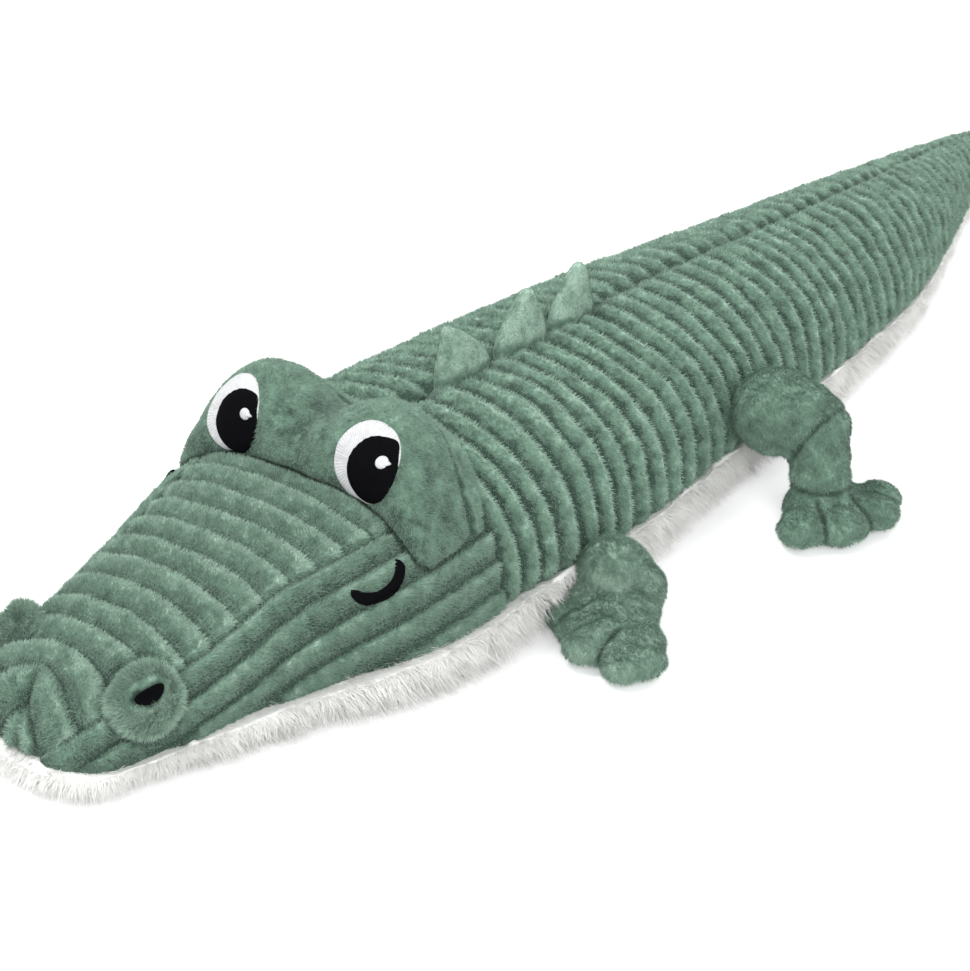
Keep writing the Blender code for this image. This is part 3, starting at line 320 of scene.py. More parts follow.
def mirrored(turn, side):
    """A turn on the left side, or the one that mirrors it on the right side."""
    return turn if side > 0 else HALF_TURN - turn


def unit(vectors):
    """The same directions with a length of one."""
    return vectors / np.maximum(np.linalg.norm(vectors, axis=-1, keepdims=True), 1e-12)


# Surface of the body

def tip_round(place, start, end):
    """One along a form, falling to zero over its rounded ends."""
    front = np.clip((place - start) / TIP_ROUND, 0, 1)
    back = np.clip((end - place) / TIP_ROUND, 0, 1)
    return np.sqrt(1 - (1 - front) ** 2) * np.sqrt(1 - (1 - back) ** 2)


def blunt(rounding, place):
    """Share of the full width that is left at a rounded end."""
    share = np.where(place < NECK, 0.42, 0.40)
    return share + (1 - share) * rounding


def half_width(place):
    """Half width of the green body with its rounded ends."""
    return on_curve(HALF_WIDTHS, place) * blunt(tip_round(place, DOME_START, TAIL_END), place)


def dome(place, turn):
    """Points of the green body's surface, in the frame."""
    base = on_curve(HEMS, place)
    rise = (on_curve(HEIGHTS, place) - base) * tip_round(place, DOME_START, TAIL_END)
    power = 2 / on_curve(POWERS, place)
    across = np.cos(turn)
    spread = np.sign(across) * np.abs(across) ** power * half_width(place)
    lift = rise * np.maximum(np.sin(turn), 0) ** power
    return np.stack((on_curve(DRIFTS, place) + spread, place, base + lift), -1) + CENTRE


def dome_height(across, place):
    """Height of the green body's surface over a point of the floor, or nothing beside the body."""
    power = on_curve(POWERS, place)
    base = on_curve(HEMS, place)
    rise = (on_curve(HEIGHTS, place) - base) * tip_round(place, DOME_START, TAIL_END)
    share = np.clip(np.abs(across - CENTRE[0] - on_curve(DRIFTS, place)) / half_width(place), 0, 1)
    return np.where(share < 1, base + rise * (1 - share ** power) ** (1 / power), 0)


def seam_turn(place):
    """Turn at which the top of the snout meets a cheek."""
    return np.interp(place, SEAM_STATIONS, SEAM_TURNS)


def surface_axes(place, turn):
    """Point on the body with the axes backwards, upwards along the surface and outwards."""
    step = 2 * MM
    here = dome(place, turn)
    back = unit(dome(place + step, turn) - dome(place - step, turn))
    up = dome(place, turn + 0.03) - dome(place, turn - 0.03)
    if turn > QUARTER_TURN:
        up = -up
    outward = unit(np.cross(back, up))
    if outward[0] * (QUARTER_TURN - turn) < 0:
        outward = -outward
    return here, back, unit(up - back * (up @ back)), outward


# Meshes

def new_object(name, data):
    """Object of some data, in the scene."""
    item = bpy.data.objects.new(name, data)
    bpy.context.scene.collection.objects.link(item)
    return item


def new_piece(name, builder, body, finish):
    """Object of a finished bmesh with a named finish, which rides on a body of the frame."""
    mesh = bpy.data.meshes.new(name)
    builder.to_mesh(mesh)
    builder.free()
    mesh.materials.append(finish_of(finish))
    mesh.shade_smooth()
    piece = new_object(name, mesh)
    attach(piece, body)
    return piece


def order_of(point):
    """A whole number that puts the points of a ball in one order, from its bottom to its top."""
    x, y, z = (round(value * 1e4) for value in point)
    return z * 1e10 + y * 1e5 + x


def ball_piece(name, segments, rings, finish):
    """A ball on the body, with its points and their angles round its axis."""
    builder = bmesh.new()
    bmesh.ops.create_uvsphere(builder, u_segments=segments, v_segments=rings, radius=1.0)
    # The ball's faces come in another order in each run, and the pile is scattered by that order
    builder.verts.sort(key=lambda vert: order_of(vert.co))
    builder.faces.sort(key=lambda face: order_of(face.calc_center_median()))
    piece = new_piece(name, builder, "body", finish)
    ball = points_of(piece.data)
    return piece, ball, np.arctan2(ball[:, 1], ball[:, 0])


def read_values(items, name, width):
    """All values of one property of a mesh's items, in rows of the given width."""
    values = np.empty(len(items) * width, np.float32)
    items.foreach_get(name, values)
    return values.reshape(-1, width) if width > 1 else values


def points_of(mesh):
    return read_values(mesh.vertices, "co", 3).astype(float)


def skin_of(mesh):
    """Points of a mesh and their normals."""
    return points_of(mesh), read_values(mesh.vertex_normals, "vector", 3).astype(float)


def set_points(mesh, points):
    mesh.vertices.foreach_set("co", np.asarray(points, np.float32).ravel())
    mesh.update()


def set_values(mesh, name, values):
    """Gives each vertex of a mesh a named value that its material reads."""
    values = np.asarray(values, np.float32)
    kind, key = ("FLOAT", "value") if values.ndim == 1 else ("FLOAT_VECTOR", "vector")
    attribute = mesh.attributes.get(name) or mesh.attributes.new(name, kind, "POINT")
    attribute.data.foreach_set(key, values.ravel())


def set_plain(mesh, groove):
    """Gives smooth cloth its painted shade and painted highlight, and no knit dimples."""
    set_values(mesh, "groove", groove)
    set_values(mesh, "knit", np.zeros((len(groove), 3)))


def moved_grid(name, rows, columns, shape, finish):
    """Sheet of cloth: a grid moved by shape(u, v), which also gives named vertex values."""
    builder = bmesh.new()
    builder.loops.layers.uv.new("OFBake")
    bmesh.ops.create_grid(builder, x_segments=rows, y_segments=columns, size=0.5, calc_uvs=True)
    piece = new_piece(name, builder, "body", finish)
    mesh = piece.data
    flat = points_of(mesh) + 0.5
    points, values = shape(flat[:, 0], flat[:, 1])
    set_points(mesh, points)
    for label, numbers in values.items():
        set_values(mesh, label, numbers)
    return piece


def surface_normals(surface, u, v):
    """Normals of a surface by small steps of u backwards and v round: outward on the left side."""
    step = 0.002
    along = surface(np.minimum(u + step, 1), v) - surface(np.maximum(u - step, 0), v)
    around = surface(u, np.minimum(v + step, 1)) - surface(u, np.maximum(v - step, 0))
    return unit(np.cross(along, around))


def turned_out(piece, inside):
    """Turns all faces of an open sheet away from points inside the body."""
    mesh = piece.data
    normals = read_values(mesh.polygons, "normal", 3)
    centres = read_values(mesh.polygons, "center", 3)
    if (normals * (centres - inside(centres))).sum() < 0:
        mesh.flip_normals()
        mesh.update()


def body_core(points):
    """Points of the body's axis beside the given ones."""
    place = points[:, 1] - CENTRE[1]
    core = points.copy()
    core[:, 0] = on_curve(DRIFTS, place) + CENTRE[0]
    core[:, 2] = on_curve(HEMS, place)
    return core


def solidified(piece, thickness):
    """Gives a sheet a wall, inwards from its face."""
    modifier = piece.modifiers.new("cloth thickness", "SOLIDIFY")
    modifier.thickness = thickness
    modifier.offset = -1


def finer(piece):
    """Splits each face of a piece into four smooth ones."""
    modifier = piece.modifiers.new("finer", "SUBSURF")
    modifier.levels = modifier.render_levels = 1
    apply_modifiers(piece)


def apply_modifiers(piece):
    """Keeps the result of a piece's modifiers as its mesh."""
    bpy.context.view_layer.update()
    graph = bpy.context.evaluated_depsgraph_get()
    mesh = bpy.data.meshes.new_from_object(piece.evaluated_get(graph))
    old = piece.data
    piece.modifiers.clear()
    piece.data = mesh
    bpy.data.meshes.remove(old)
    mesh.name = piece.name
    mesh.shade_smooth()


def remeshed(piece, voxel, rounds):
    """One closed skin round overlapping forms, smoothed."""
    modifier = piece.modifiers.new("skin", "REMESH")
    modifier.mode = "VOXEL"
    modifier.voxel_size = voxel
    smoother = piece.modifiers.new("smooth", "SMOOTH")
    smoother.factor = 0.5
    smoother.iterations = rounds
    apply_modifiers(piece)


def puffed(piece, voxel, pressure, cap):
    """Swells a padded cover by simulated air pressure, each point by no more than cap."""
    remeshed(piece, voxel, 2)
    start = points_of(piece.data)
    cloth = piece.modifiers.new("stuffing", "CLOTH")
    settings = cloth.settings
    settings.quality = 5
    settings.mass = 0.15
    settings.tension_stiffness = settings.compression_stiffness = 20
    settings.bending_stiffness = 2
    settings.use_pressure = True
    settings.uniform_pressure_force = pressure
    settings.effector_weights.gravity = 0
    scene = bpy.context.scene
    for step in range(1, 13):
        scene.frame_set(step)
    graph = bpy.context.evaluated_depsgraph_get()
    moved = points_of(piece.evaluated_get(graph).data)
    piece.modifiers.clear()
    scene.frame_set(1)
    shift = moved - start
    reach = np.linalg.norm(shift, axis=1, keepdims=True)
    set_points(piece.data, start + shift * np.minimum(1, cap / np.maximum(reach, 1e-9)))
    finer(piece)


# Strands

def scattered(piece, count, seed, share=None):
    """Points spread over a piece's faces with their normals, fewer where its share is small."""
    mesh = piece.data
    mesh.calc_loop_triangles()
    corners = np.empty(len(mesh.loop_triangles) * 3, np.int32)
    mesh.loop_triangles.foreach_get("vertices", corners)
    corners = corners.reshape(-1, 3)
    points, normals = skin_of(mesh)
    triangles = points[corners]
    first, second, third = triangles[:, 0], triangles[:, 1], triangles[:, 2]
    size = np.linalg.norm(np.cross(second - first, third - first), axis=1)
    if share is not None:
        size = size * share(points, normals)[corners].mean(1)
    random = np.random.default_rng(seed)
    picked = np.sort(random.choice(len(corners), count, p=size / size.sum()))
    first, second = random.random(count), random.random(count)
    over = first + second > 1
    first[over], second[over] = 1 - first[over], 1 - second[over]
    weights = np.stack((1 - first - second, first, second), 1)[:, :, None]
    roots = (triangles[picked] * weights).sum(1)
    # The cover's painted shade and highlight at each root
    groove = read_values(mesh.attributes["groove"].data, "value", 1)
    sunk = (groove[corners[picked]] * weights[:, :, 0]).sum(1)
    return roots, unit((normals[corners[picked]] * weights).sum(1)), sunk, random


def strands(name, body, count, steps, shape, finish):
    """Many blades: one strip of steps, or one triangle, repeated and moved by shape(along, across)."""
    builder = bmesh.new()
    builder.loops.layers.uv.new("OFBake")
    if steps:
        bmesh.ops.create_grid(builder, x_segments=steps, y_segments=1, size=1.0, calc_uvs=True)
    else:
        bmesh.ops.create_circle(builder, cap_ends=True, segments=3, radius=1.0, calc_uvs=True)
    piece = new_piece(name, builder, body, finish)
    blade = points_of(piece.data)
    copies = piece.modifiers.new("copies", "ARRAY")
    copies.count = count
    copies.use_relative_offset = False
    copies.use_constant_offset = True
    copies.constant_offset_displace = (0, 0, 1)
    apply_modifiers(piece)
    mesh = piece.data
    if steps:
        along, across = (blade[:, 0] + 1) / 2, blade[:, 1]
    else:
        order = np.argsort(blade[:, 1] * 10 + blade[:, 0])
        along, across = np.zeros(3), np.zeros(3)
        along[order[2]] = 1
        across[order[0]], across[order[1]] = -1, 1
    points = shape(along[None, :, None], across[None, :, None])
    set_points(mesh, points.reshape(-1, 3))
    set_values(mesh, "tip", np.tile(along, count))
    tone = np.random.default_rng(count).random(count)
    set_values(mesh, "tone", np.repeat(tone, len(along)))
    cells = math.ceil(math.sqrt(count))
    index = np.arange(count)
    corner = np.stack((index % cells, index // cells), 1)[:, None, :]
    inner = np.stack((0.08 + 0.84 * along, 0.5 + 0.42 * across * (1 - 0.7 * along)), 1)[None]
    flat = ((corner + inner) / cells).reshape(-1, 2).astype(np.float32)
    vertex = np.empty(len(mesh.loops), np.int32)
    mesh.loops.foreach_get("vertex_index", vertex)
    mesh.uv_layers["OFBake"].data.foreach_set("uv", flat[vertex].ravel())
    return piece


def pile(base, count, length, flow, seed, share=None, lie=0.9, width=PILE_WIDTH):
    """Short pile on a piece: leaning triangles that lie along the flow, in patches."""
    roots, normals, sunk, random = scattered(base, count, seed, share)
    tall = roots[:, 1] / (9 * MM) + roots[:, 2] / (7 * MM) + 80
    patch = wobble(roots[:, 0] / (9 * MM) + 40, tall, seed)
    along = np.array(flow, float)[None] + random.normal(0, 0.28, (count, 3))
    along += 0.55 * patch[:, None] * np.array((0.6, -0.4, 0.5))[None]
    along = unit(along - normals * (along * normals).sum(1, keepdims=True))
    lean = lie * (1 + 0.35 * patch)[:, None]
    ways = unit(normals + along * lean)
    sides = unit(np.cross(ways, normals) + random.normal(0, 0.25, (count, 3)))
    lengths = length * random.uniform(0.6, 1.15, count) * (1 - 0.45 * np.clip(sunk, 0, 1))
    lengths = lengths[:, None, None]
    roots = (roots - normals * 0.15 * MM)[:, None]

    def shape(far, wide):
        points = roots + ways[:, None] * lengths * far + sides[:, None] * wide * width
        points[:, :, 2] = np.maximum(points[:, :, 2], FLOOR_GAP)
        return points

    slot = base.data.materials[0].name.replace("plush ", "")
    name = base.name.replace("_cloth", "").replace("_plush", "") + "_pile"
    piece = strands(name, base["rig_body"], count, 0, shape, slot + "_pile")
    # Each strand carries the painted shade and highlight of its root
    set_values(piece.data, "groove", np.repeat(sunk, 3))


# Materials

class Nodes:
    """The node tree of a material or world, with short ways to add to it."""

    def __init__(self, owner):
        owner.use_nodes = True
        self.tree = owner.node_tree

    def set(self, node, sockets):
        """Gives sockets, by name or number, a value or a link."""
        for key, value in sockets.items():
            socket = node.inputs[key]
            if isinstance(value, bpy.types.NodeSocket):
                self.tree.links.new(value, socket)
            elif socket.type == "RGBA":
                socket.default_value = (*value, 1)
            else:
                socket.default_value = value
        return node

    def add(self, kind, sockets=None, **settings):
        node = self.tree.nodes.new("ShaderNode" + kind)
        for name, value in settings.items():
            setattr(node, name, value)
        return self.set(node, sockets or {})

    def shade(self, sockets):
        self.set(self.tree.nodes["Principled BSDF"], sockets)

    def noise(self, scale, detail, rough):
        place = self.tree.nodes.get("Texture Coordinate") or self.add("TexCoord")
        return self.add("TexNoise", {
            "Scale": scale, "Detail": detail, "Roughness": rough, "Vector": place.outputs["Object"],
        }).outputs["Fac"]

    def ramp(self, source, *stops):
        ramp = self.add("ValToRGB", {"Fac": source})
        while len(ramp.color_ramp.elements) < len(stops):
            ramp.color_ramp.elements.new(0.5)
        for element, (position, colour) in zip(ramp.color_ramp.elements, stops):
            element.position = position
            element.color = (*colour, 1)
        return ramp.outputs["Color"]

    def mix(self, factor, first, second, blend="MIX"):
        sockets = {"Factor": factor, "A": first, "B": second}
        return self.add("Mix", sockets, data_type="RGBA", blend_type=blend).outputs["Result"]

    def math(self, operation, *values):
        return self.add("Math", dict(enumerate(values)), operation=operation).outputs["Value"]

    def value(self, name, output="Fac"):
        """A named value of the mesh."""
        return self.add("Attribute", attribute_name=name).outputs[output]

    def bump(self, height, strength, distance, sockets=None):
        """Normals of small relief, on top of those in the other sockets."""
        sockets = {"Strength": strength, "Distance": distance, "Height": height, **(sockets or {})}
        return self.add("Bump", sockets).outputs["Normal"]


def shaded(colour, factor):
    return [value * factor for value in colour]


def plush_colour(nodes, colours, lift):
    """Colour of the pile: light and dark patches, with painted highlight on the crests and painted shade in
    the grooves.
    """
    broad = nodes.noise(190, 8, 0.74)
    # Painted shading from the mesh darkens the ramp; its negative values lighten it as painted highlight
    sunk = nodes.math("MULTIPLY_ADD", nodes.value("groove"), -0.32, lift)
    return nodes.ramp(
        nodes.math("ADD", broad, sunk),
        (0.28, colours.green_dark), (0.39, shaded(colours.green, 0.62)), (0.52, colours.green),
        (0.70, shaded(colours.green_light, 0.92)), (0.86, shaded(colours.green_light, 1.15)),
    )


def plush_finish(nodes, colours):
    """Short plush pile: mottled green, with painted shade in the grooves and knit dimples, and a soft sheen.
    """
    knit = nodes.value("knit", "Vector")
    cells = nodes.add("TexVoronoi", voronoi_dimensions="2D")
    nodes.set(cells, {"Scale": 1.0, "Randomness": 0.35, "Vector": knit})
    hole = nodes.add("MapRange", {
        "From Min": 0.18, "From Max": 0.46, "To Min": 1.0, "To Max": 0.0,
        "Value": cells.outputs["Distance"],
    }).outputs["Result"]
    shown = nodes.add("SeparateXYZ", {"Vector": knit}).outputs["Z"]
    dimple = nodes.math("MULTIPLY", hole, shown)
    grain = nodes.bump(nodes.noise(900, 3, 0.6), 0.7, 0.5 * MM)
    nodes.shade({
        "Roughness": 0.92, "Sheen Weight": 0.30, "Sheen Roughness": 0.45, "Sheen Tint": SHEEN_TINT,
        # Knit dimples are painted in the dark shade green
        "Base Color": nodes.mix(dimple, plush_colour(nodes, colours, 0.05), colours.green_dark),
        "Normal": nodes.bump(nodes.math("SUBTRACT", 1.0, dimple), 0.8, 0.6 * MM, {"Normal": grain}),
    })


def pile_finish(nodes, colours):
    """Strands of the green pile: painted shade at the root, in light and dark patches, with the cover's
    painted shade and highlight.
    """
    tone = nodes.math("MULTIPLY", nodes.value("tone"), 0.50)
    varied = nodes.mix(tone, plush_colour(nodes, colours, 0.08), colours.green_light)
    # Painted shade towards each strand's root
    root = nodes.math("MULTIPLY", nodes.math("SUBTRACT", 1.0, nodes.value("tip")), 0.55)
    nodes.shade({
        "Roughness": 0.85, "Sheen Weight": 0.25, "Sheen Tint": SHEEN_TINT,
        "Base Color": nodes.mix(root, varied, shaded(colours.green, 0.6)),
    })


def fur_colour(nodes, colours, low):
    """Warm white with soft grey hollows of painted shade, in noise patches."""
    return nodes.ramp(nodes.noise(110, 5, 0.6), (0.36, shaded(colours.white, low)), (0.60, colours.white))


def fur_finish(nodes, colours):
    """White cloth under the fur."""
    nodes.shade({
        "Roughness": 0.9, "Sheen Weight": 0.25, "Base Color": fur_colour(nodes, colours, 0.80),
        "Normal": nodes.bump(nodes.noise(500, 3, 0.6), 0.5, 0.8 * MM),
    })


def fur_strand_finish(nodes, colours):
    """Strands of the white fur, each a little different."""
    tone = nodes.math("MULTIPLY", nodes.value("tone"), 0.4)
    nodes.shade({
        "Roughness": 0.8, "Sheen Weight": 0.2,
        "Base Color": nodes.mix(tone, fur_colour(nodes, colours, 0.82), shaded(colours.white, 0.93)),
    })


def thread_finish(nodes, colour, rough, specular, low):
    """Satin stitches: fine ridges across the stitched form, from its own thread count, with painted shade
    between the ridges.
    """
    ridge = nodes.math("MULTIPLY_ADD", nodes.math("SINE", nodes.value("thread")), 0.5, 0.5)
    # Painted shade in the hollows between the thread ridges
    mixed = nodes.mix(ridge, shaded(colour, low), colour)
    grain = nodes.ramp(nodes.noise(700, 4, 0.6), (0.3, (0.80, 0.80, 0.80)), (0.7, (1, 1, 1)))
    nodes.shade({
        "Roughness": rough, "Specular IOR Level": specular,
        "Base Color": nodes.mix(1.0, mixed, grain, "MULTIPLY"),
        "Normal": nodes.bump(ridge, 0.5, 0.15 * MM),
    })


def fibre_finish(nodes, colours):
    """Loose polyester fibre of the fillings."""
    nodes.shade({
        "Roughness": 0.95,
        "Base Color": nodes.ramp(
            nodes.noise(160, 6, 0.7), (0.3, (0.66, 0.66, 0.65)), (0.7, (0.86, 0.86, 0.85))),
        "Normal": nodes.bump(nodes.noise(420, 4, 0.7), 0.8, 1.2 * MM),
    })


MAKERS = {
    "ribbed_plush": plush_finish,
    "smooth_plush": plush_finish,
    "ribbed_plush_pile": pile_finish,
    "smooth_plush_pile": pile_finish,
    "white_fur": fur_finish,
    "white_fur_strands": fur_strand_finish,
    "white_thread": lambda nodes, colours: thread_finish(nodes, colours.thread_white, 0.5, 0.3, 0.80),
    "black_thread": lambda nodes, colours: thread_finish(nodes, colours.thread_black, 0.85, 0.03, 0.6),
    "polyester_filling": fibre_finish,
}


def finish_of(name):
    """A finish by name, made the first time that a piece asks for it."""
    material = bpy.data.materials.get("plush " + name)
    if material is None:
        material = bpy.data.materials.new("plush " + name)
        MAKERS[name](Nodes(material), bpy.context.scene.plush_colours)
    return material


def told(node):
    """Hides the solid that a piece stands for."""
    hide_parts(node)


# Snout

class PLUSH_OT_snout(bpy.types.Operator):
    """Makes the ribbed top and the two cheek covers of the snout"""
    bl_idname = "plush.snout"
    bl_label = "Snout covers"

    def execute(self, context):
        shape = context.scene.plush_shape
        make_snout_top(shape)
        for name, side in SIDES:
            make_cheek(name, side, shape)
        return {"FINISHED"}


def ribbed(phase):
    """Height of the snout's ribs: a slope from each groove up to a ridge before the next."""
    part = phase % 1
    slope = 0.4 + 0.6 * ease(part, 0.05, 0.80)
    drop = np.sqrt(np.clip(1 - ((part - 0.80) / 0.20) ** 2, 0, 1))
    return np.where(part > 0.80, drop, slope) * ease(part, 0.0, 0.10)


def rib_painted_shading(phase):
    """Painted shading of the snout's ribs: a dark line of painted shade in each groove and a band of painted
    highlight on each ridge.
    """
    part = phase % 1
    line = bell(np.minimum(part, 1 - part), 0.075)
    return 1.25 * line + 0.45 * (1 - ease(part, 0.1, 0.6)) - 0.38 * bell(part - 0.80, 0.12)


def knit_rows(phase, pitch, across, start, end):
    """Cell numbers of the knit dimples between two parts of each rib, and where they show."""
    part = phase % 1
    shown = ease(part, start, start + 0.04) * (1 - ease(part, end - 0.08, end))
    return np.stack((across / (1.30 * MM), phase * pitch / (1.15 * MM), shown), -1)


def step_under_back(place):
    """How far the covers of the head step down under the lap of the back."""
    return 3.2 * MM * ease(place, NECK - 9.5 * MM, NECK - 7.5 * MM)


def make_snout_top(shape):
    """Top of the snout, with ribs across it that point forwards near the nose."""
    def surface(u, v):
        place = DOME_START + u ** 1.12 * (NECK - DOME_START)
        edge = seam_turn(place)
        return dome(place, edge + v * (HALF_TURN - 2 * edge))

    def finished(u, v):
        points = surface(u, v)
        normals = surface_normals(surface, u, v)
        place = points[:, 1] - CENTRE[1]
        reach = np.abs(points[:, 0] - CENTRE[0])
        bend = 0.6 * MM * wobble(v * 4, place / (25 * MM), 3)
        chevron = 0.34 * (1 - ease(place, 8 * MM, 34 * MM))
        chevron = chevron + 0.05 * (1 - ease(place, 30 * MM, 80 * MM))
        phase = (place + bend + chevron * reach + 2 * MM) / shape.snout_pitch
        rib = ribbed(phase)
        edge = np.minimum(v, 1 - v)
        end = ease(edge, 0.0, 0.030)
        under_brow = 1 - ease(place, 110 * MM, 120 * MM)
        height = (rib - 1) * shape.snout_depth * end * under_brow - 1.9 * MM * (1 - end)
        height += 0.40 * MM * wobble(points[:, 0] / (6 * MM), place / (6 * MM), 5) * end
        height += 0.25 * MM * wobble(points[:, 0] / (2.2 * MM), place / (2.2 * MM), 6) * end
        fold = bell(reach, 1.8 * MM) * (1 - ease(place, 9 * MM, 17 * MM))
        height -= 1.6 * MM * fold
        height -= step_under_back(place)
        seam_highlight_band = bell(edge - 0.055, 0.018)
        ring, crease = pad_ring(points), brow_crease(points)
        height -= 0.9 * MM * ring + 1.8 * MM * crease
        knit = knit_rows(phase, shape.snout_pitch, points[:, 0], 0.06, 0.40)
        knit[:, 2] *= end * under_brow * (0.75 + 0.25 * wobble(v * 9, place / (8 * MM), 7))
        # Painted shade in the rib grooves, the nose fold, the seams, round the nostril pads and along the
        # brow; painted highlight on the ridges and in a band by the seam
        dark = rib_painted_shading(phase) * end * under_brow - 0.35 * seam_highlight_band + fold * 0.6 + 0.6 * (1 - end)
        dark = dark + 1.3 * crease + 0.8 * ring + 0.04
        return points + normals * height[:, None], {"groove": np.clip(dark, LIGHTEST, DARKEST), "knit": knit}

    piece = moved_grid("snout_top_cloth", 300, 120, finished, "ribbed_plush")
    turned_out(piece, body_core)
    pile(piece, SNOUT_STRANDS, shape.pile_length, (0, 1, -0.2), 101, open_pile)
    solidified(piece, CLOTH_WALL)
    told("snout_top_panel")


def brow_crease(points):
    """One where a cover meets the brow, falling to zero a few millimetres away from it."""
    crease = np.zeros(len(points))
    brow = bpy.data.objects.get("brow_plush")
    if brow is None:
        return crease
    shell = points_of(brow.data)
    proud = shell[:, 2] > dome_height(shell[:, 0], shell[:, 1] - CENTRE[1]) - 0.3 * MM
    faces = [tuple(face.vertices) for face in brow.data.polygons]
    faces = [face for face in faces if all(proud[at] for at in face)]
    tree = BVHTree.FromPolygons(shell.tolist(), faces)
    for index in np.flatnonzero(points[:, 1] - CENTRE[1] > 95 * MM):
        apart = tree.find_nearest(Vector(points[index]), 12 * MM)[3]
        if apart is not None:
            crease[index] = math.exp(-(apart / (1.5 * MM)) ** 2)
    return crease * (1 - ease(points[:, 1] - CENTRE[1], 124 * MM, 132 * MM))


def pad_ring(points):
    """One in the crease round each nostril pad, zero elsewhere."""
    ring = np.zeros(len(points))
    for _, side in SIDES:
        middle = dome(np.array(NOSTRIL[0]), mirrored(NOSTRIL[1], side))
        apart = np.linalg.norm(points - middle, axis=1)
        ring = ring + bell(apart - 11.4 * MM, 1.6 * MM)
    return ring


def open_pile(points, normals):
    """Share of the pile's strands: fewer where the cloth faces down."""
    return np.clip(normals[:, 2] + 1.1, 0.05, 1)


def make_cheek(name, side, shape):
    """Cheek and side of the jaw, with ribs that run lengthways below the snout's seam."""
    def surface(u, v):
        place = DOME_START + u * (NECK - DOME_START)
        return dome(place, mirrored(v * seam_turn(place), side))

    def finished(u, v):
        points = surface(u, v)
        normals = side * surface_normals(surface, u, v)
        place = points[:, 1] - CENTRE[1]
        seam = dome(place, mirrored(seam_turn(place), side))
        bend = 0.5 * MM * wobble(place / (22 * MM), v * 0, 9 + side)
        phase = -(np.linalg.norm(points - seam, axis=1) + bend) / shape.side_pitch
        rib = ribbed(phase)
        fade = ease(place, 2 * MM, 16 * MM)
        edge = ease(1 - v, 0.0, 0.06)
        hem = 1 - ease(v, 0.0, 0.05)
        height = (rib - 1) * shape.side_depth * fade - 1.9 * MM * (1 - edge)
        height += 0.7 * MM * wobble(place / (11 * MM), v * 5, 11 + side) * edge
        height += 0.3 * MM * wobble(place / (2.4 * MM), v * 22, 12 + side) * edge
        height += 1.2 * MM * hem - step_under_back(place)
        knit = knit_rows(phase, shape.side_pitch, place, 0.05, 0.45)
        knit[:, 2] *= fade * edge
        crease = brow_crease(points)
        # Painted shade in the rib grooves, by the seam, round the nostril pads and along the brow, over a
        # darker cheek; painted highlight on the ridges
        dark = rib_painted_shading(phase) * fade * edge + 0.75 * (1 - edge) + 0.8 * pad_ring(points)
        dark = dark + 1.3 * crease + 0.34
        moved = points + normals * (height - 2.0 * MM * crease)[:, None]
        moved[:, 2] -= 1.2 * MM * hem
        return moved, {"groove": np.clip(dark, LIGHTEST, DARKEST), "knit": knit}

    piece = moved_grid("cheek_cloth_" + name, 250, 64, finished, "ribbed_plush")
    turned_out(piece, body_core)
    pile(piece, CHEEK_STRANDS, shape.pile_length, (0, 1, -0.3), 103 + side)
    solidified(piece, CLOTH_WALL)
    told("snout_side_panel_" + name)


# Back

class PLUSH_OT_back(bpy.types.Operator):
    """Makes the two gathered halves of the back"""
    bl_idname = "plush.back"
    bl_label = "Back covers"

    def execute(self, context):
        for name, side in SIDES:
            make_back(name, side, context.scene.plush_shape)
        return {"FINISHED"}


def gathered(phase):
    """Height of the gathered ribs: round crests with narrow valleys."""
    part = np.abs(2 * (phase % 1) ** 1.35 - 1)
    return (1 - part ** 2.1) ** 0.75


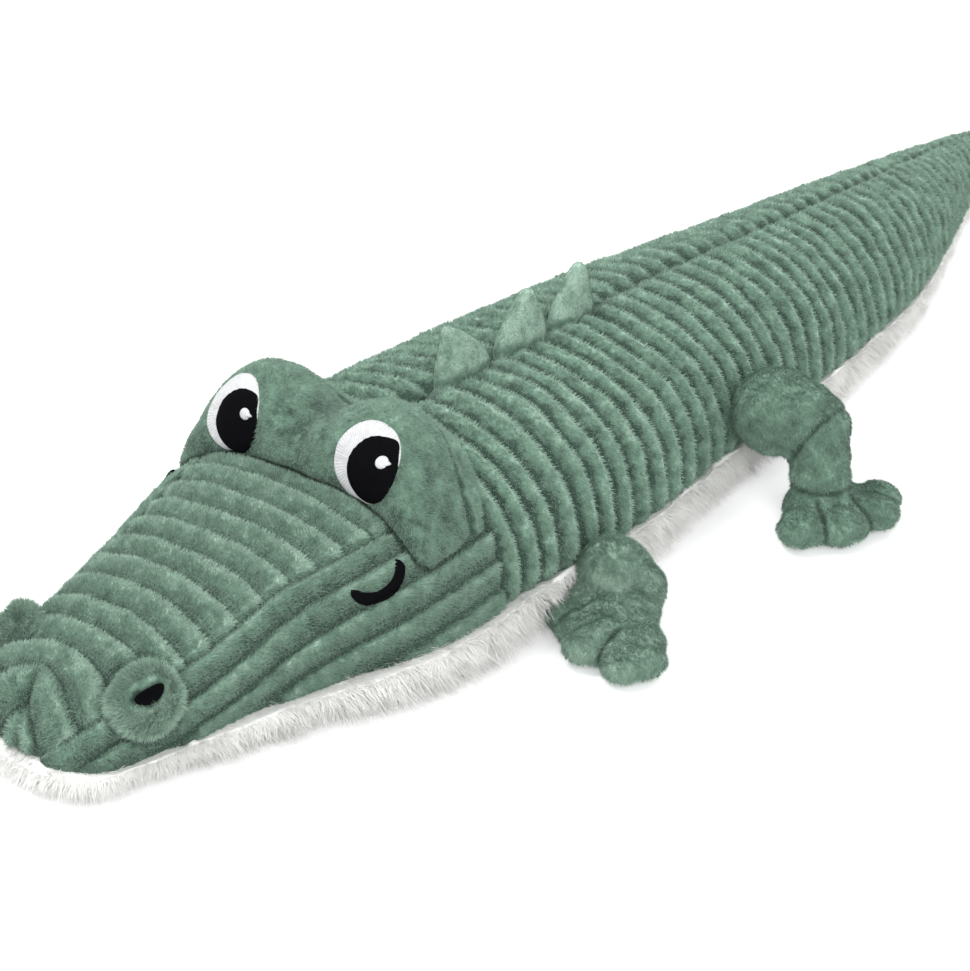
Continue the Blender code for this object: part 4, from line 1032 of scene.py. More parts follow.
def make_back(name, side, shape):
    """One half of the back, gathered along the spine, with a scalloped hem."""
    def surface(u, v):
        place = NECK - NECK_LAP + u * (TAIL_END - NECK + NECK_LAP)
        return dome(place, mirrored(v * QUARTER_TURN, side))

    def finished(u, v):
        points = surface(u, v)
        normals = side * surface_normals(surface, u, v)
        place = points[:, 1] - CENTRE[1]
        round_turn = (v if side > 0 else 2 - v) * 2.6
        wander = 2.4 * MM * wobble(round_turn, place / (38 * MM), 21)
        wander += 1.1 * MM * wobble(round_turn * 2 + 9, place / (14 * MM), 25)
        wander *= ease(place, NECK, NECK + 10 * MM)
        phase = (place - NECK + wander) / shape.back_pitch + (0.4 if side < 0 else 0)
        rib = gathered(phase)
        size = half_width(place) / (57 * MM)
        depth = shape.back_depth * (0.40 + 0.60 * size)
        depth = depth * (0.85 + 0.35 * wobble(round_turn * 1.3, place / (11 * MM), 31))
        depth *= 1 - 0.45 * ease(v, 0.70, 1.0)
        height = (rib - 1) * depth + 0.4 * MM * rib
        height += 0.45 * MM * wobble(round_turn * 4, place / (9 * MM), 35)
        height += 0.15 * MM * wobble(round_turn * 13, place / (2.4 * MM), 36)
        height -= 2.4 * MM * (1 - ease(1 - v, 0.0, 0.045))
        roll = ease(place, NECK - NECK_LAP, NECK - NECK_LAP + 2.5 * MM)
        lap = 1 - ease(place, NECK - NECK_LAP + 2 * MM, NECK)
        height = height * (1 - 0.8 * lap) + 0.9 * MM * lap - 2.4 * MM * (1 - roll)
        hem = 1 - ease(v, 0.0, 0.045)
        scallop = np.sqrt(np.clip(1 - (2 * (phase % 1) ** 1.1 - 1) ** 2, 0, 1))
        lobe = hem * (scallop * 2.4 - 1.0) * MM * (0.4 + 0.6 * size)
        curl = 2.6 * MM * scallop * (1 - ease(v, 0.0, 0.035))
        moved = points + normals * (height - 0.9 * MM * hem * (1 - rib) - curl)[:, None]
        moved[:, 2] -= lobe
        knit = knit_rows(phase, shape.back_pitch, v * 86 * MM * size, 0.02, 0.30)
        knit[:, 2] *= 0.7 * np.clip(wobble(round_turn * 2, place / (17 * MM), 39) + 0.8, 0, 1)
        # Painted shade in the valleys between the ribs and along the spine seam; painted highlight on each
        # crest
        dark = (1 - rib) ** 1.1 * 1.35 + 0.18 + 0.6 * (1 - ease(1 - v, 0.0, 0.04))
        dark -= 0.42 * bell(phase % 1 - 0.74, 0.13)
        return moved, {"groove": np.clip(dark, LIGHTEST, DARKEST), "knit": knit}

    piece = moved_grid("back_cloth_" + name, 600, 76, finished, "ribbed_plush")
    turned_out(piece, body_core)
    pile(piece, BACK_STRANDS, shape.pile_length, (0, 0.7, -0.8), 107 + side)
    solidified(piece, CLOTH_WALL)
    told("back_panel_" + name)


# White underside

class PLUSH_OT_fur(bpy.types.Operator):
    """Makes the white fur of the chin, the belly and the tail"""
    bl_idname = "plush.fur"
    bl_label = "White fur"

    def execute(self, context):
        shape = context.scene.plush_shape
        make_tray("chin_fur_cloth", "chin_panel", 0.4 * MM, NECK, CHIN_STRANDS, shape)
        make_tray("belly_fur_cloth", "belly_panel", NECK, LENGTH - 0.4 * MM, BELLY_STRANDS, shape)
        return {"FINISHED"}


def tray(place, share):
    """Points of the white underside, from share 0 under the left hem to 1 under the right hem."""
    top = on_curve(HEMS, place)
    outer = tip_round(place, 0.0, LENGTH)
    half = on_curve(HALF_WIDTHS, place) * blunt(outer, place) + on_curve(OVERHANGS, place)
    floor = top * (1 - outer)
    corner = np.minimum(13 * MM, half * 0.60)
    flat = half - corner
    side = np.where(share <= 0.5, 1, -1)
    from_hem = np.minimum(share, 1 - share)
    inner = np.maximum(half - on_curve(OVERHANGS, place) - 3 * MM, flat * 0.6)
    inner = inner * ease(place, 4 * MM, 14 * MM) * ease(LENGTH - place, 1 * MM, 8 * MM)
    lip = np.clip(from_hem / 0.1, 0, 1)
    angle = QUARTER_TURN * np.clip((from_hem - 0.1) / 0.3, 0, 1)
    rounded = flat + corner * np.cos(angle)
    level = flat * (0.5 - from_hem) / 0.1
    under = np.where(from_hem < 0.4, rounded, level)
    across = np.where(from_hem < 0.1, inner + (half - inner) * lip, under)
    down = np.where(from_hem < 0.4, top - (top - floor) * np.sin(angle), floor)
    down = down - 0.8 * MM * (1 - lip)
    return np.stack((on_curve(DRIFTS, place) + side * across, place, down), -1) + CENTRE


def make_tray(name, node, start, end, count, shape):
    """White cloth between two places, lumpy at its sides, with its fur."""
    def finished(u, v):
        place = start + u * (end - start)
        points = tray(place, v)
        middle = body_core(points)
        out = unit((points - middle) * np.array((1, 0.3, 0.6)))
        from_hem = np.minimum(v, 1 - v)
        shown = ease(from_hem, 0.04, 0.12) * (1 - ease(from_hem, 0.28, 0.40))
        lump = 1.7 * MM * wobble(v * 20, place / (9 * MM), 41)
        lump = lump + 0.7 * MM * wobble(v * 44, place / (4 * MM), 42)
        points = points + out * ((lump - 2.0 * MM) * shown)[:, None]
        points[:, 2] = np.maximum(points[:, 2], 0.05 * MM)
        return points, {"groove": np.zeros(len(u))}

    piece = moved_grid(name, 220, 70, finished, "white_fur")
    turned_out(piece, lambda centres: body_core(centres) + np.array((0, 0, 20 * MM)))
    make_fur(piece, name.replace("cloth", "strands"), count, shape.fur_length)
    solidified(piece, FUR_WALL)
    told(node)


def make_fur(base, name, count, length):
    """Long soft strands round the sides of the white underside, in wavy locks."""
    def share(points, normals):
        core = body_core(points)
        beside = np.abs(points[:, 0] - core[:, 0])
        place = points[:, 1] - CENTRE[1]
        rim = ease(beside, on_curve(HALF_WIDTHS, place) * 0.62, on_curve(HALF_WIDTHS, place) * 0.9)
        front = 1 - ease(place, 10 * MM, 24 * MM)
        back = ease(place, LENGTH - 20 * MM, LENGTH - 8 * MM)
        return np.clip(np.maximum(rim, np.maximum(front, back)), 0.01, 1) * (points[:, 2] > 0.6 * MM)

    roots, normals, _, random = scattered(base, count, 61, share)
    core = body_core(roots)
    out = roots - core
    out[:, 2] = 0
    place = roots[:, 1] - CENTRE[1]
    front = -40 * MM * (1 - ease(place, 0, 30 * MM))
    out[:, 1] += front + 20 * MM * ease(place, LENGTH - 30 * MM, LENGTH)
    out = unit(out)
    lock = wobble(roots[:, 1] / (5 * MM) + 7, roots[:, 0] / (5 * MM) + roots[:, 2] / (5 * MM) + 90, 63)
    second = wobble(roots[:, 1] / (3 * MM) + 70, roots[:, 0] / (3 * MM) + roots[:, 2] / (3 * MM) + 30, 64)
    along = (0.75 * lock + 0.35 * second + random.normal(0, 0.35, count))[:, None]
    along = np.array((0, 1, 0))[None] * along
    rising = normals * (0.35 + 0.12 * np.maximum(normals[:, 2:], 0))
    ways = unit(out + rising + along + random.normal(0, 0.22, (count, 3)) + np.array((0, 0, 0.05)))
    size = np.clip(half_width(np.clip(place, 20 * MM, TAIL_END - 15 * MM)) / (50 * MM), 0.4, 1)
    sizes = (length * size * (1 + 0.25 * lock) * random.uniform(0.55, 1.1, count))[:, None, None]
    sides = unit(np.cross(ways, np.array((0, 0, 1.0))) + random.normal(0, 0.35, (count, 3)))
    phase = (lock * 5 + random.normal(0, 0.4, count))[:, None, None]
    roots = (roots - normals * 0.4 * MM)[:, None]

    def shape(far, wide):
        points = roots + ways[:, None] * sizes * far
        points = points + sides[:, None] * (0.09 * sizes * np.sin(5 * far + phase) * far)
        points[:, :, 2] -= (sizes * 0.42 * far ** 2)[:, :, 0]
        points = points + sides[:, None] * wide * FUR_WIDTH * (1 - 0.85 * far)
        points[:, :, 2] = np.maximum(points[:, :, 2], FLOOR_GAP)
        return points

    piece = strands(name, "body", count, 2, shape, "white_fur_strands")


# Brow

class PLUSH_OT_brow(bpy.types.Operator):
    """Makes the padded brow that carries the eyes"""
    bl_idname = "plush.brow"
    bl_label = "Brow"

    def execute(self, context):
        piece, ball, angle = ball_piece("brow_plush", 72, 60, "smooth_plush")
        spread = np.arcsin(np.clip(ball[:, 2], -1, 1)) / QUARTER_TURN
        set_points(piece.data, brow_point(spread, angle, -0.5 * MM))
        puffed(piece, 2.2 * MM, 3.0, 1.6 * MM)
        dress_brow(piece)
        pile(piece, BROW_STRANDS, context.scene.plush_shape.pile_length * 0.85, (0, 0.5, -0.8), 111,
             beside_eyes, width=FINE_PILE_WIDTH)
        told("brow_cover")
        return {"FINISHED"}


def eye_axes(side):
    """Middle of an eye with its axes to the right, upwards and outwards."""
    turn = Matrix.Rotation(side * EYE_OUTWARD, 3, "Z") @ Matrix.Rotation(-EYE_UPWARD, 3, "X")
    right, up = np.array(turn @ Vector((1, 0, 0))), np.array(turn @ Vector((0, 0, 1)))
    middle = np.array((side * EYE_MIDDLE[0], EYE_MIDDLE[1], EYE_MIDDLE[2])) + CENTRE
    return middle, right, up, np.cross(right, up)


def beside_eyes(points, normals):
    """Share of the brow's pile: none under the stitched eyes."""
    share = np.ones(len(points))
    for side in (1, -1):
        middle, right, up, outward = eye_axes(side)
        local = points - middle
        inside = (local @ right / EYE_HALF[0]) ** 2 + (local @ up / EYE_HALF[1]) ** 2 < 1.0
        share[inside & (normals @ outward > 0)] = 0
    return share


def dress_brow(piece):
    """Seams, folds and soft unevenness of the brow, its place on the head, and its painted shade and
    highlight.
    """
    finer(piece)
    mesh = piece.data
    points, normals = skin_of(mesh)
    across = points[:, 0] - CENTRE[0]
    place = points[:, 1] - CENTRE[1]
    back_line = place - (BROW_PLACE + 10.5 * MM) + 0.22 * np.maximum(np.abs(across) - 24 * MM, 0)
    seam = bell(back_line, 1.1 * MM)
    lift = -1.5 * MM * seam
    middle = bell(across, 7 * MM) * ease(place, BROW_PLACE - 22 * MM, BROW_PLACE - 8 * MM)
    lift -= 1.2 * MM * middle
    lift += 0.35 * MM * wobble(points[:, 0] / (8 * MM), points[:, 2] / (6 * MM) + place / (9 * MM), 51)
    folds = np.sin(place / (1.25 * MM)) * ease(np.abs(across), 30 * MM, 42 * MM)
    lift += 0.75 * MM * folds * ease(place, BROW_PLACE - 1 * MM, BROW_PLACE + 6 * MM)
    points = points + normals * lift[:, None]
    resting = dome_height(points[:, 0], points[:, 1] - CENTRE[1]) - BROW_SINK
    points[:, 2] = np.maximum(points[:, 2], resting)
    set_points(mesh, points)
    # Painted shade in the back seam, the middle dip, the rear folds, low by the base and over the front
    # face; painted highlight along the rear edge
    rear = ease(place, BROW_PLACE + 8 * MM, BROW_PLACE + 15 * MM)
    low = 1 - ease(points[:, 2] - resting, 0.5 * MM, 3 * MM)
    front = 1 - ease(points[:, 2] - resting, 3 * MM, 22 * MM)
    front = front * (1 - ease(place, BROW_PLACE, BROW_PLACE + 8 * MM))
    dark = 0.75 * seam + 0.35 * middle - 0.25 * rear + 0.8 * low + 0.30 * front
    dark = dark + 0.25 * np.abs(folds) * rear + 0.28
    set_plain(mesh, np.clip(dark, LIGHTEST, DARKEST))


def brow_point(share, angle, grow):
    """Points of the brow: share -1 to 1 from its right to its left end, angle 0 at its back, 90 on top."""
    steps = len(BROW_SPREADS) - 1
    at = (1 - np.abs(share)) * steps
    index = np.arange(steps + 1)

    def smooth(values):
        fine = np.linspace(0, steps, 141)
        rough = np.interp(fine, index, values)
        kernel = np.hanning(23)
        kernel /= kernel.sum()
        padded = np.concatenate((2 * rough[0] - rough[11:0:-1], rough, rough[-2:-13:-1]))
        return np.interp(at, fine, np.convolve(padded, kernel, "valid"))

    closing = np.sqrt(1 - (1 - np.clip(at / 0.8, 0, 1)) ** 2)
    across = np.sign(share) * BROW_HALF_WIDTH * smooth(BROW_SPREADS)
    rise = (BROW_RISE * smooth(BROW_RISES) + grow) * closing
    centre = on_curve(HEIGHTS, np.array([BROW_PLACE]))[0] + BROW_LIFT - BROW_DROP * smooth(BROW_DROPS)
    depth = (BROW_DEPTH / 2 * smooth(BROW_DEPTHS) + grow) * closing
    place = BROW_PLACE + depth * np.cos(angle) - BROW_FORWARD * ease(np.abs(share), 0.55, 1.0)
    points = np.stack((across, place, centre + rise * np.sin(angle)), -1) + CENTRE
    resting = dome_height(points[:, 0], place) - BROW_SINK
    points[:, 2] = np.maximum(points[:, 2], resting)
    return points


# Eyes, nostrils and smile

class PLUSH_OT_face(bpy.types.Operator):
    """Makes the stitched eyes, the nostrils and the smile"""
    bl_idname = "plush.face"
    bl_label = "Eyes, nostrils and smile"

    def execute(self, context):
        brow = BVHTree.FromObject(bpy.data.objects["brow_plush"], context.evaluated_depsgraph_get())
        for name, side in SIDES:
            make_eye(name, side, brow)
            make_nostril(name, side, context.scene.plush_shape)
            make_smile(name, side)
        return {"FINISHED"}


def patch(name, node, slot, base, outline, rise, threads):
    """Stitched pad on a surface: a flattened ball whose two halves follow the surface under it."""
    piece, ball, angle = ball_piece(name, 64, 24, slot)
    ring = np.hypot(ball[:, 0], ball[:, 1])
    across, height = outline(angle, ring)
    under, outward = base(across, height)
    level = np.where(ball[:, 2] > 0, rise * np.maximum(ball[:, 2], 0) ** 0.45, -0.3 * MM)
    level = np.where(ring > 0.999, 0.05 * MM, level)
    set_points(piece.data, under + outward * level[:, None])
    set_values(piece.data, "thread", threads(angle, across, height))
    told(node)
    return piece


def make_eye(name, side, brow):
    """White, pupil and glint of an eye, stitched one over the other on the brow."""
    middle, right, up, outward = eye_axes(side)

    def base(across, height):
        starts = middle + np.outer(across, right) + np.outer(height, up) + outward * 20 * MM
        hits = []
        for start in starts:
            point, normal, _, _ = brow.ray_cast(Vector(start), Vector(-outward), 60 * MM)
            if point is None:
                point, normal, _, _ = brow.find_nearest(Vector(start - outward * 20 * MM))
            hits.append(point)
        return np.array(hits), np.tile(outward, (len(hits), 1))

    def white(angle, ring):
        return EYE_HALF[0] * ring * np.cos(angle), EYE_HALF[1] * ring * np.sin(angle)

    def pupil(angle, ring):
        corner = 0.10 * bell(angle - 0.95, 0.30) - 0.05 * bell(angle - 2.3, 0.6)
        corner += 0.012 * np.sin(angle * 41) * bell(angle - 2.6, 1.2)
        ring = ring * (1 + corner)
        across = PUPIL_SHIFT[0] + PUPIL_HALF[0] * ring * np.cos(angle)
        return across, PUPIL_SHIFT[1] + PUPIL_HALF[1] * ring * np.sin(angle)

    def glint(angle, ring):
        ring = ring * (1 + 0.45 * bell(angle, 0.22))
        across = PUPIL_SHIFT[0] + PUPIL_HALF[0] * 0.45 + GLINT_HALF * ring * np.cos(angle)
        return across, PUPIL_HALF[1] * 0.20 + GLINT_HALF * ring * np.sin(angle)

    patch("eye_white_" + name + "_stitch", "eye_white_" + name, "white_thread", base, white, 0.7 * MM,
          lambda angle, across, height: angle * 70)
    patch("eye_pupil_" + name + "_stitch", "eye_pupil_" + name, "black_thread", base, pupil, 1.3 * MM,
          lambda angle, across, height: height / THREAD_WIDTH)
    patch("eye_glint_" + name + "_stitch", "eye_glint_" + name, "white_thread", base, glint, 2.0 * MM,
          lambda angle, across, height: across / THREAD_WIDTH)


def make_nostril(name, side, shape):
    """Fluffy pad at a corner of the nose, with its stitched slit."""
    here, back, up, outward = surface_axes(np.array(NOSTRIL[0]), mirrored(NOSTRIL[1], side))
    axes = np.stack((back, up, outward))
    piece, ball, _ = ball_piece("nostril_plush_" + name, 72, 40, "smooth_plush")
    tufts = wobble(ball[:, 0] * 4 + 9, ball[:, 1] * 4 + ball[:, 2] * 2 + 20, 71)
    swell = 1 + 0.13 * tufts
    hollow = np.exp(-(ball[:, 0] / 0.62) ** 2 - (ball[:, 1] / 0.34) ** 2)
    sunk = 1 - 0.55 * hollow * (ball[:, 2] > 0)
    local = ball * swell[:, None] * np.array(NOSTRIL_HALF)
    local[:, 2] = local[:, 2] * sunk + 1.4 * MM
    set_points(piece.data, here + local @ axes)
    if side < 0:
        piece.data.flip_normals()
    rim = np.exp(-(ball[:, 0] / 0.85) ** 2 - ((ball[:, 1] - 0.1) / 0.62) ** 2) * (ball[:, 2] > 0)
    # Painted shade in the hollow and round the slit; the pad is painted lighter, with painted highlight on
    # its swollen tufts and shade between them
    set_plain(piece.data, 1.1 * rim + 0.7 * hollow - 0.75 - 0.55 * tufts)
    flow = -0.5 * back + 0.2 * up

    def outside_slit(points, normals):
        local = (points - here) @ axes.T
        inside = (local[:, 0] / (6.6 * MM)) ** 2 + ((local[:, 1] - 0.9 * MM) / (4.2 * MM)) ** 2 < 1
        return np.where(inside & (local[:, 2] > 0), 0.0, 1.0)

    pile(piece, NOSTRIL_STRANDS, shape.pile_length * 1.7, flow, 73 + side, outside_slit, lie=0.5)
    told("nostril_pad_" + name)

    def base(across, height):
        long, wide = across / (0.62 * NOSTRIL_HALF[0]), height / (0.34 * NOSTRIL_HALF[1])
        level = NOSTRIL_HALF[2] * (1 - 0.50 * np.exp(-long ** 2 - wide ** 2)) + 2.0 * MM
        points = here + np.outer(across, back) + np.outer(height, up) + level[:, None] * outward
        return points, np.tile(outward, (len(across), 1))

    def slit(angle, ring):
        bow = 0.8 * MM * np.cos(angle) ** 2
        return 4.6 * MM * ring * np.cos(angle), 2.1 * MM * ring * np.sin(angle) + bow

    node = "nostril_stitch_" + name
    stitch = patch(node + "_thread", node, "black_thread", base, slit, 0.9 * MM,
                   lambda angle, across, height: across / (0.10 * MM))
    if side < 0:
        stitch.data.flip_normals()


def make_smile(name, side):
    """Thick stitched hook on a cheek, tapered at both ends."""
    here, back, up, outward = surface_axes(np.array(SMILE[0]), mirrored(SMILE[1], side))
    graph = bpy.context.evaluated_depsgraph_get()
    cheek = BVHTree.FromObject(bpy.data.objects["cheek_cloth_" + name], graph)
    piece, ball, around = ball_piece("smile_thread_" + name, 20, 72, "black_thread")
    part = np.arcsin(np.clip(ball[:, 2], -1, 1)) / HALF_TURN + 0.5
    angle = SMILE_ANGLES[0] + (SMILE_ANGLES[1] - SMILE_ANGLES[0]) * part
    ends = np.sqrt(np.clip(1 - ball[:, 2] ** 40, 0, 1))
    swell = SMILE_HALF_WIDTH * (0.62 + 0.38 * np.sin(HALF_TURN * part)) * ends
    radius = SMILE_RADIUS + swell * np.cos(around)
    over, tall = 1.15 * radius * np.cos(angle) - 1.6 * MM, 0.85 * radius * np.sin(angle)
    points = []
    for across, height, lift in zip(over, tall, swell * np.sin(around)):
        start = Vector(here + back * across + up * height + outward * 15 * MM)
        point = cheek.ray_cast(start, Vector(-outward), 40 * MM)[0]
        point = point or start - Vector(outward) * 15 * MM
        points.append(np.array(point) + outward * (0.60 * lift + 0.75 * MM))
    set_points(piece.data, points)
    builder = bmesh.new()
    builder.from_mesh(piece.data)
    bmesh.ops.recalc_face_normals(builder, faces=builder.faces)
    builder.to_mesh(piece.data)
    builder.free()
    set_values(piece.data, "thread", part * 260)
    told("smile_stitch_" + name)


# Legs

class PLUSH_OT_legs(bpy.types.Operator):
    """Makes the four padded legs with their toes"""
    bl_idname = "plush.legs"
    bl_label = "Legs"

    def execute(self, context):
        shape = context.scene.plush_shape
        make_leg("front_leg_left", FRONT_LEFT, FRONT_BALLS, Matrix.Identity(4), shape)
        make_leg("front_leg_right", FRONT_RIGHT, FRONT_BALLS, Matrix.Rotation(HALF_TURN, 4, "Z"), shape)
        make_leg("hind_leg_left", HIND_LEFT, HIND_BALLS, Matrix.Identity(4), shape)
        make_leg("hind_leg_right", HIND_RIGHT, FLAT_BALLS, Matrix.Scale(-1, 4, Vector((1, 0, 0))), shape)
        return {"FINISHED"}


def make_leg(name, hinge, balls, placing, shape):
    """A leg from overlapping balls: one skin, swollen, then creased between its toes."""
    builder = bmesh.new()
    for centre, half in balls:
        ball = bmesh.ops.create_uvsphere(builder, u_segments=28, v_segments=18, radius=MM)["verts"]
        bmesh.ops.scale(builder, vec=half, verts=ball)
        bmesh.ops.translate(builder, vec=[value * MM for value in centre], verts=ball)
    piece = new_piece(name + "_plush", builder, name, "smooth_plush")
    remeshed(piece, 0.9 * MM, 14)
    puffed(piece, 1.5 * MM, 2.0, 0.6 * MM)
    mesh = piece.data
    points, normals = skin_of(mesh)
    local = points / MM
    dark = toe_lines(local, balls)
    lift = -0.9 * dark
    lift += 0.35 * wobble(local[:, 0] / 5, local[:, 1] / 5 + local[:, 2] / 4, 81)
    lift += 0.18 * wobble(local[:, 0] / 2, local[:, 1] / 2 + local[:, 2] / 2, 82)
    points = points + normals * lift[:, None] * MM
    points[:, 2] = np.maximum(points[:, 2], 0.2 * MM)
    set_points(mesh, points)
    mesh.transform(Matrix.Translation((*hinge, 0)) @ placing)
    if placing.determinant() < 0:
        mesh.flip_normals()
    # Painted shade in the lines between the toes and at the ankle and knee; the left hind leg is painted
    # darker and the other legs lighter
    shade = 0.22 if balls is HIND_BALLS else -0.12
    set_plain(mesh, np.clip(dark * 1.1 + shade, LIGHTEST, 1.2))
    flow = placing.to_3x3() @ Vector((0.5, -0.5, -0.5))
    pile(piece, LEG_STRANDS, shape.pile_length * 0.95, flow, 121,
         lambda points, normals: np.clip(normals[:, 2] + 1.0, 0.02, 1), width=FINE_PILE_WIDTH)
    told(name + "_cover")


def toe_lines(local, balls):
    """Depth of the lines between neighbouring toes, and at the ankle and knee of the hind leg."""
    toes = HIND_TOES if balls is HIND_BALLS else FLAT_TOES if balls is FLAT_BALLS else FRONT_TOES
    dark = np.zeros(len(local))
    for first, second in zip(toes[:-1], toes[1:]):
        first, second = np.array((*first, 5.5)), np.array((*second, 5.5))
        middle = (first + second) / 2
        way = unit(second - first)
        apart = np.abs((local - middle) @ way)
        near = np.linalg.norm((local - middle)[:, :2], axis=1)
        line = bell(apart, 0.9) * (1 - ease(near, 5, 10))
        dark = np.maximum(dark, line)
    dark = dark * ease(local[:, 2], 2, 5) * (1 - ease(local[:, 2], 11, 14))
    if balls is HIND_BALLS:
        ankle = bell(local[:, 2] - 13.5 - 0.05 * local[:, 0], 0.8)
        knee = (local[:, 0] - 14) - 0.6 * (local[:, 2] - 24)
        knee = bell(knee, 1.0) * ease(local[:, 2], 19, 23) * (1 - ease(local[:, 2], 36, 42))
        dark = np.maximum(dark, np.maximum(0.7 * ankle, 0.6 * knee))
    return dark


# Spikes

class PLUSH_OT_spikes(bpy.types.Operator):
    """Makes the three puffy spikes in the back seam"""
    bl_idname = "plush.spikes"
    bl_label = "Spikes"

    def execute(self, context):
        for name, place, length, lean in SPIKES:
            make_spike(name, place * MM, length * MM, lean * MM, context.scene.plush_shape)
        return {"FINISHED"}


def make_spike(name, place, length, lean, shape):
    """A flat padded cone that leans along the spine, with its foot in the back seam."""
    piece, ball, angle = ball_piece("spike_plush_" + name, 56, 48, "smooth_plush")
    level = (ball[:, 2] + 1) / 2 * 1.25 - 0.25
    width = np.interp(level, (-0.25, 0, 0.25, 0.5, 0.75, 0.92, 1), (1, 1, 0.88, 0.68, 0.43, 0.22, 0.05))
    ring = np.where(np.hypot(ball[:, 0], ball[:, 1]) > 1e-6, 1, 0)
    seam = 1 - 0.30 * bell(np.abs(np.cos(angle)) - 1, 0.25)
    along = length / 2 * width * np.cos(angle) * ring
    across = SPIKE_HALF_WIDTH * np.sqrt(width) * np.sin(angle) * ring * seam
    across += 0.3 * MM * wobble(angle * 2 + 9, level * 4 + 5, 91) * ring
    shift = lean * np.maximum(level, 0) ** 1.5
    here = np.array([place])
    drift, top = on_curve(DRIFTS, here)[0], on_curve(HEIGHTS, here)[0]
    points = np.stack((drift + across, place + shift + along, top + SPIKE_HEIGHT * level), -1) + CENTRE
    set_points(piece.data, points)
    # Painted shade at the spike's foot and along its seam; the whole spike is painted lighter
    dark = bell(level + 0.02, 0.10) * 0.6
    dark = dark + 0.3 * bell(np.abs(np.cos(angle)) - 1, 0.04)
    set_plain(piece.data, dark - 0.45)
    pile(piece, SPIKE_STRANDS, shape.pile_length * 0.9, (0, 0.4, 0.6), 95,
         lambda points, normals: (points[:, 2] > top - 1 * MM) * 1.0, width=FINE_PILE_WIDTH)
    told("spine_spike_" + name)


# Fillings

class PLUSH_OT_fillings(bpy.types.Operator):
    """Makes the loose fibre inside the body, the brow and the legs"""
    bl_idname = "plush.fillings"
    bl_label = "Fillings"

    def execute(self, context):
        make_filling("body_filling", "body", 5 * MM, 0.5 * MM)
        make_filling("brow_filling", "body", 2.2 * MM, 0.5 * MM)
        for leg in ("front_leg_left", "front_leg_right", "hind_leg_left", "hind_leg_right"):
            make_filling(leg + "_filling", leg, 1.8 * MM, 1.6 * MM)
        return {"FINISHED"}


def make_filling(node, body, voxel, gap):
    """Lumpy fibre in the room of a filling's solid."""
    builder = bmesh.new()
    builder.from_mesh(frame["nodes"][node].data)
    bmesh.ops.remove_doubles(builder, verts=builder.verts, dist=0.01 * MM)
    piece = new_piece(node + "_fibre", builder, body, "polyester_filling")
    piece.data.materials.clear()
    piece.data.materials.append(finish_of("polyester_filling"))
    remeshed(piece, voxel, 3)
    mesh = piece.data
    points, normals = skin_of(mesh)
    tall = points[:, 1] / (6 * MM) + points[:, 2] / (5 * MM) + 90
    lump = wobble(points[:, 0] / (6 * MM) + 30, tall, 97)
    points = points - normals * (gap + 0.4 * MM * lump)[:, None]
    set_points(mesh, points)
    told(node)


# Stage

class PLUSH_OT_stage(bpy.types.Operator):
    """Adds the floor, the soft lights and the camera"""
    bl_idname = "plush.stage"
    bl_label = "Stage"

    def execute(self, context):
        scene = context.scene
        scene.view_settings.view_transform = "Standard"
        data = bpy.data.cameras.new("camera")
        data.lens = CAMERA_LENS
        scene.camera = new_object("camera", data)
        scene.camera.location = CAMERA_PLACE
        scene.camera.rotation_euler = [math.radians(turn) for turn in CAMERA_TURN]
        make_floor()
        make_world(scene)
        for name, place, size, power in LAMPS:
            light = bpy.data.lights.new(name, "AREA")
            light.size = size
            light.energy = power
            lamp = new_object(name, light)
            lamp.location = place
            away = Vector(LIT_POINT) - lamp.location
            lamp.rotation_euler = away.to_track_quat("-Z", "Y").to_euler()
        return {"FINISHED"}


def seen_directly(nodes):
    """One where a ray comes from the camera, off a shine or through clear matter."""
    path = nodes.add("LightPath")
    seen = path.outputs["Is Camera Ray"]
    for way in ("Is Glossy Ray", "Is Transmission Ray"):
        seen = nodes.math("MAXIMUM", seen, path.outputs[way])
    return seen


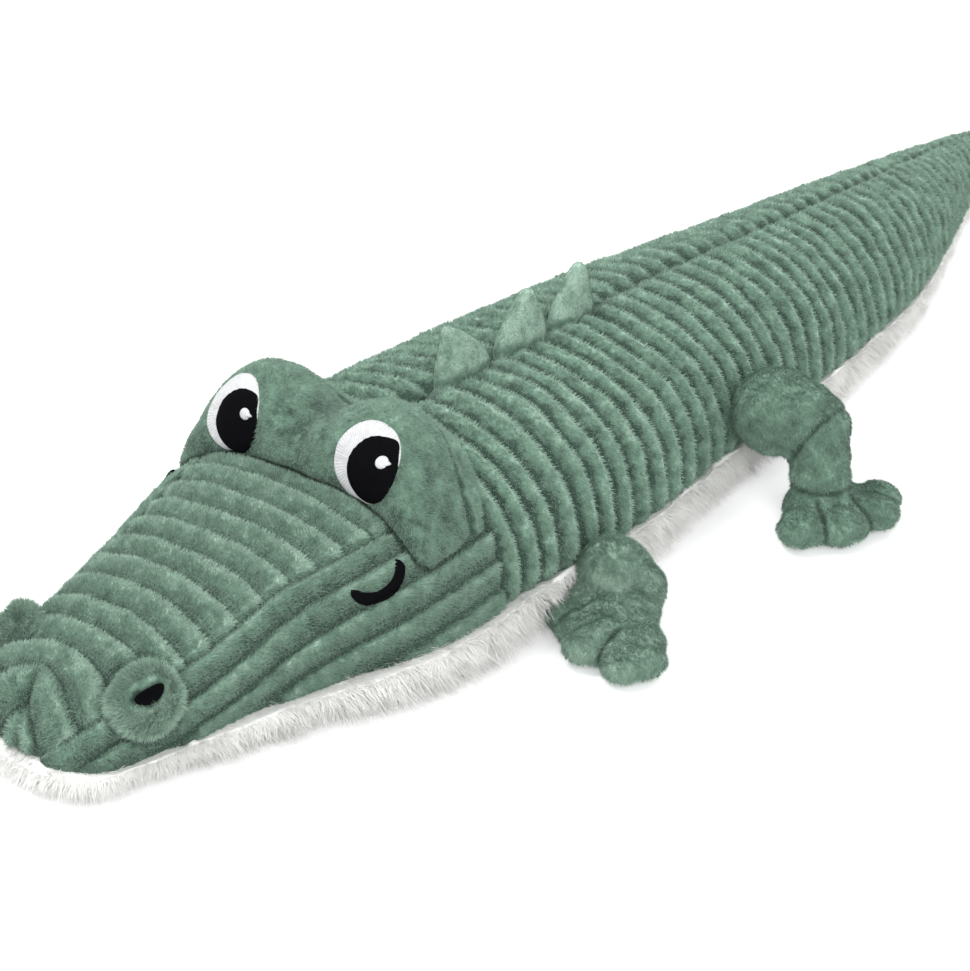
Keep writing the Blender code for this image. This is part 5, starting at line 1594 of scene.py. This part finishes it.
def make_floor():
    """Pale floor that shows white to the camera where no shadow falls."""
    builder = bmesh.new()
    bmesh.ops.create_grid(builder, x_segments=1, y_segments=1, size=3.0)
    mesh = bpy.data.meshes.new("floor")
    builder.to_mesh(mesh)
    builder.free()
    floor = new_object("floor", mesh)
    material = bpy.data.materials.new("floor")
    nodes = Nodes(material)
    nodes.shade({
        "Base Color": (0.86, 0.86, 0.86), "Roughness": 1.0, "Specular IOR Level": 0.0,
        "Emission Color": (1, 1, 1),
        "Emission Strength": nodes.math("MULTIPLY", seen_directly(nodes), FLOOR_GLOW),
    })
    mesh.materials.append(material)


def make_world(scene):
    """Soft light from all sides, which the camera sees as white."""
    scene.world = bpy.data.worlds.new("soft room")
    nodes = Nodes(scene.world)
    nodes.tree.nodes.clear()
    room = nodes.add("Background", {"Color": (0.95, 0.98, 1.0), "Strength": ROOM_LIGHT})
    white = nodes.add("Background", {"Color": (1, 1, 1)})
    seen = seen_directly(nodes)
    both = nodes.add("MixShader", {"Fac": seen, 1: room.outputs[0], 2: white.outputs[0]})
    nodes.add("OutputWorld", {"Surface": both.outputs[0]})


class PLUSH_PT_panel(bpy.types.Panel):
    """Lists the sizes, the colours and the pieces of the plush crocodile"""
    bl_label = "Plush crocodile"
    bl_idname = "PLUSH_PT_panel"
    bl_space_type = "VIEW_3D"
    bl_region_type = "UI"
    bl_category = "Plush"

    def draw(self, context):
        for group in (context.scene.plush_shape, context.scene.plush_colours):
            for name in group.__annotations__:
                self.layout.prop(group, name)
        for item in OPERATORS:
            self.layout.operator(item.bl_idname)


OPERATORS = (
    PLUSH_OT_brow, PLUSH_OT_snout, PLUSH_OT_back, PLUSH_OT_fur, PLUSH_OT_face, PLUSH_OT_legs,
    PLUSH_OT_spikes, PLUSH_OT_fillings, PLUSH_OT_stage,
)
CLASSES = (PlushShape, PlushColours) + OPERATORS + (PLUSH_PT_panel,)


def register():
    for item in CLASSES:
        bpy.utils.register_class(item)
    bpy.types.Scene.plush_shape = bpy.props.PointerProperty(type=PlushShape)
    bpy.types.Scene.plush_colours = bpy.props.PointerProperty(type=PlushColours)


def unregister():
    del bpy.types.Scene.plush_shape
    del bpy.types.Scene.plush_colours
    for item in reversed(CLASSES):
        bpy.utils.unregister_class(item)


def main():
    register()
    bpy.ops.plush.brow()
    bpy.ops.plush.snout()
    bpy.ops.plush.back()
    bpy.ops.plush.fur()
    bpy.ops.plush.face()
    bpy.ops.plush.legs()
    bpy.ops.plush.spikes()
    bpy.ops.plush.fillings()
    bpy.ops.plush.stage()


if __name__ == "__main__":
    main()
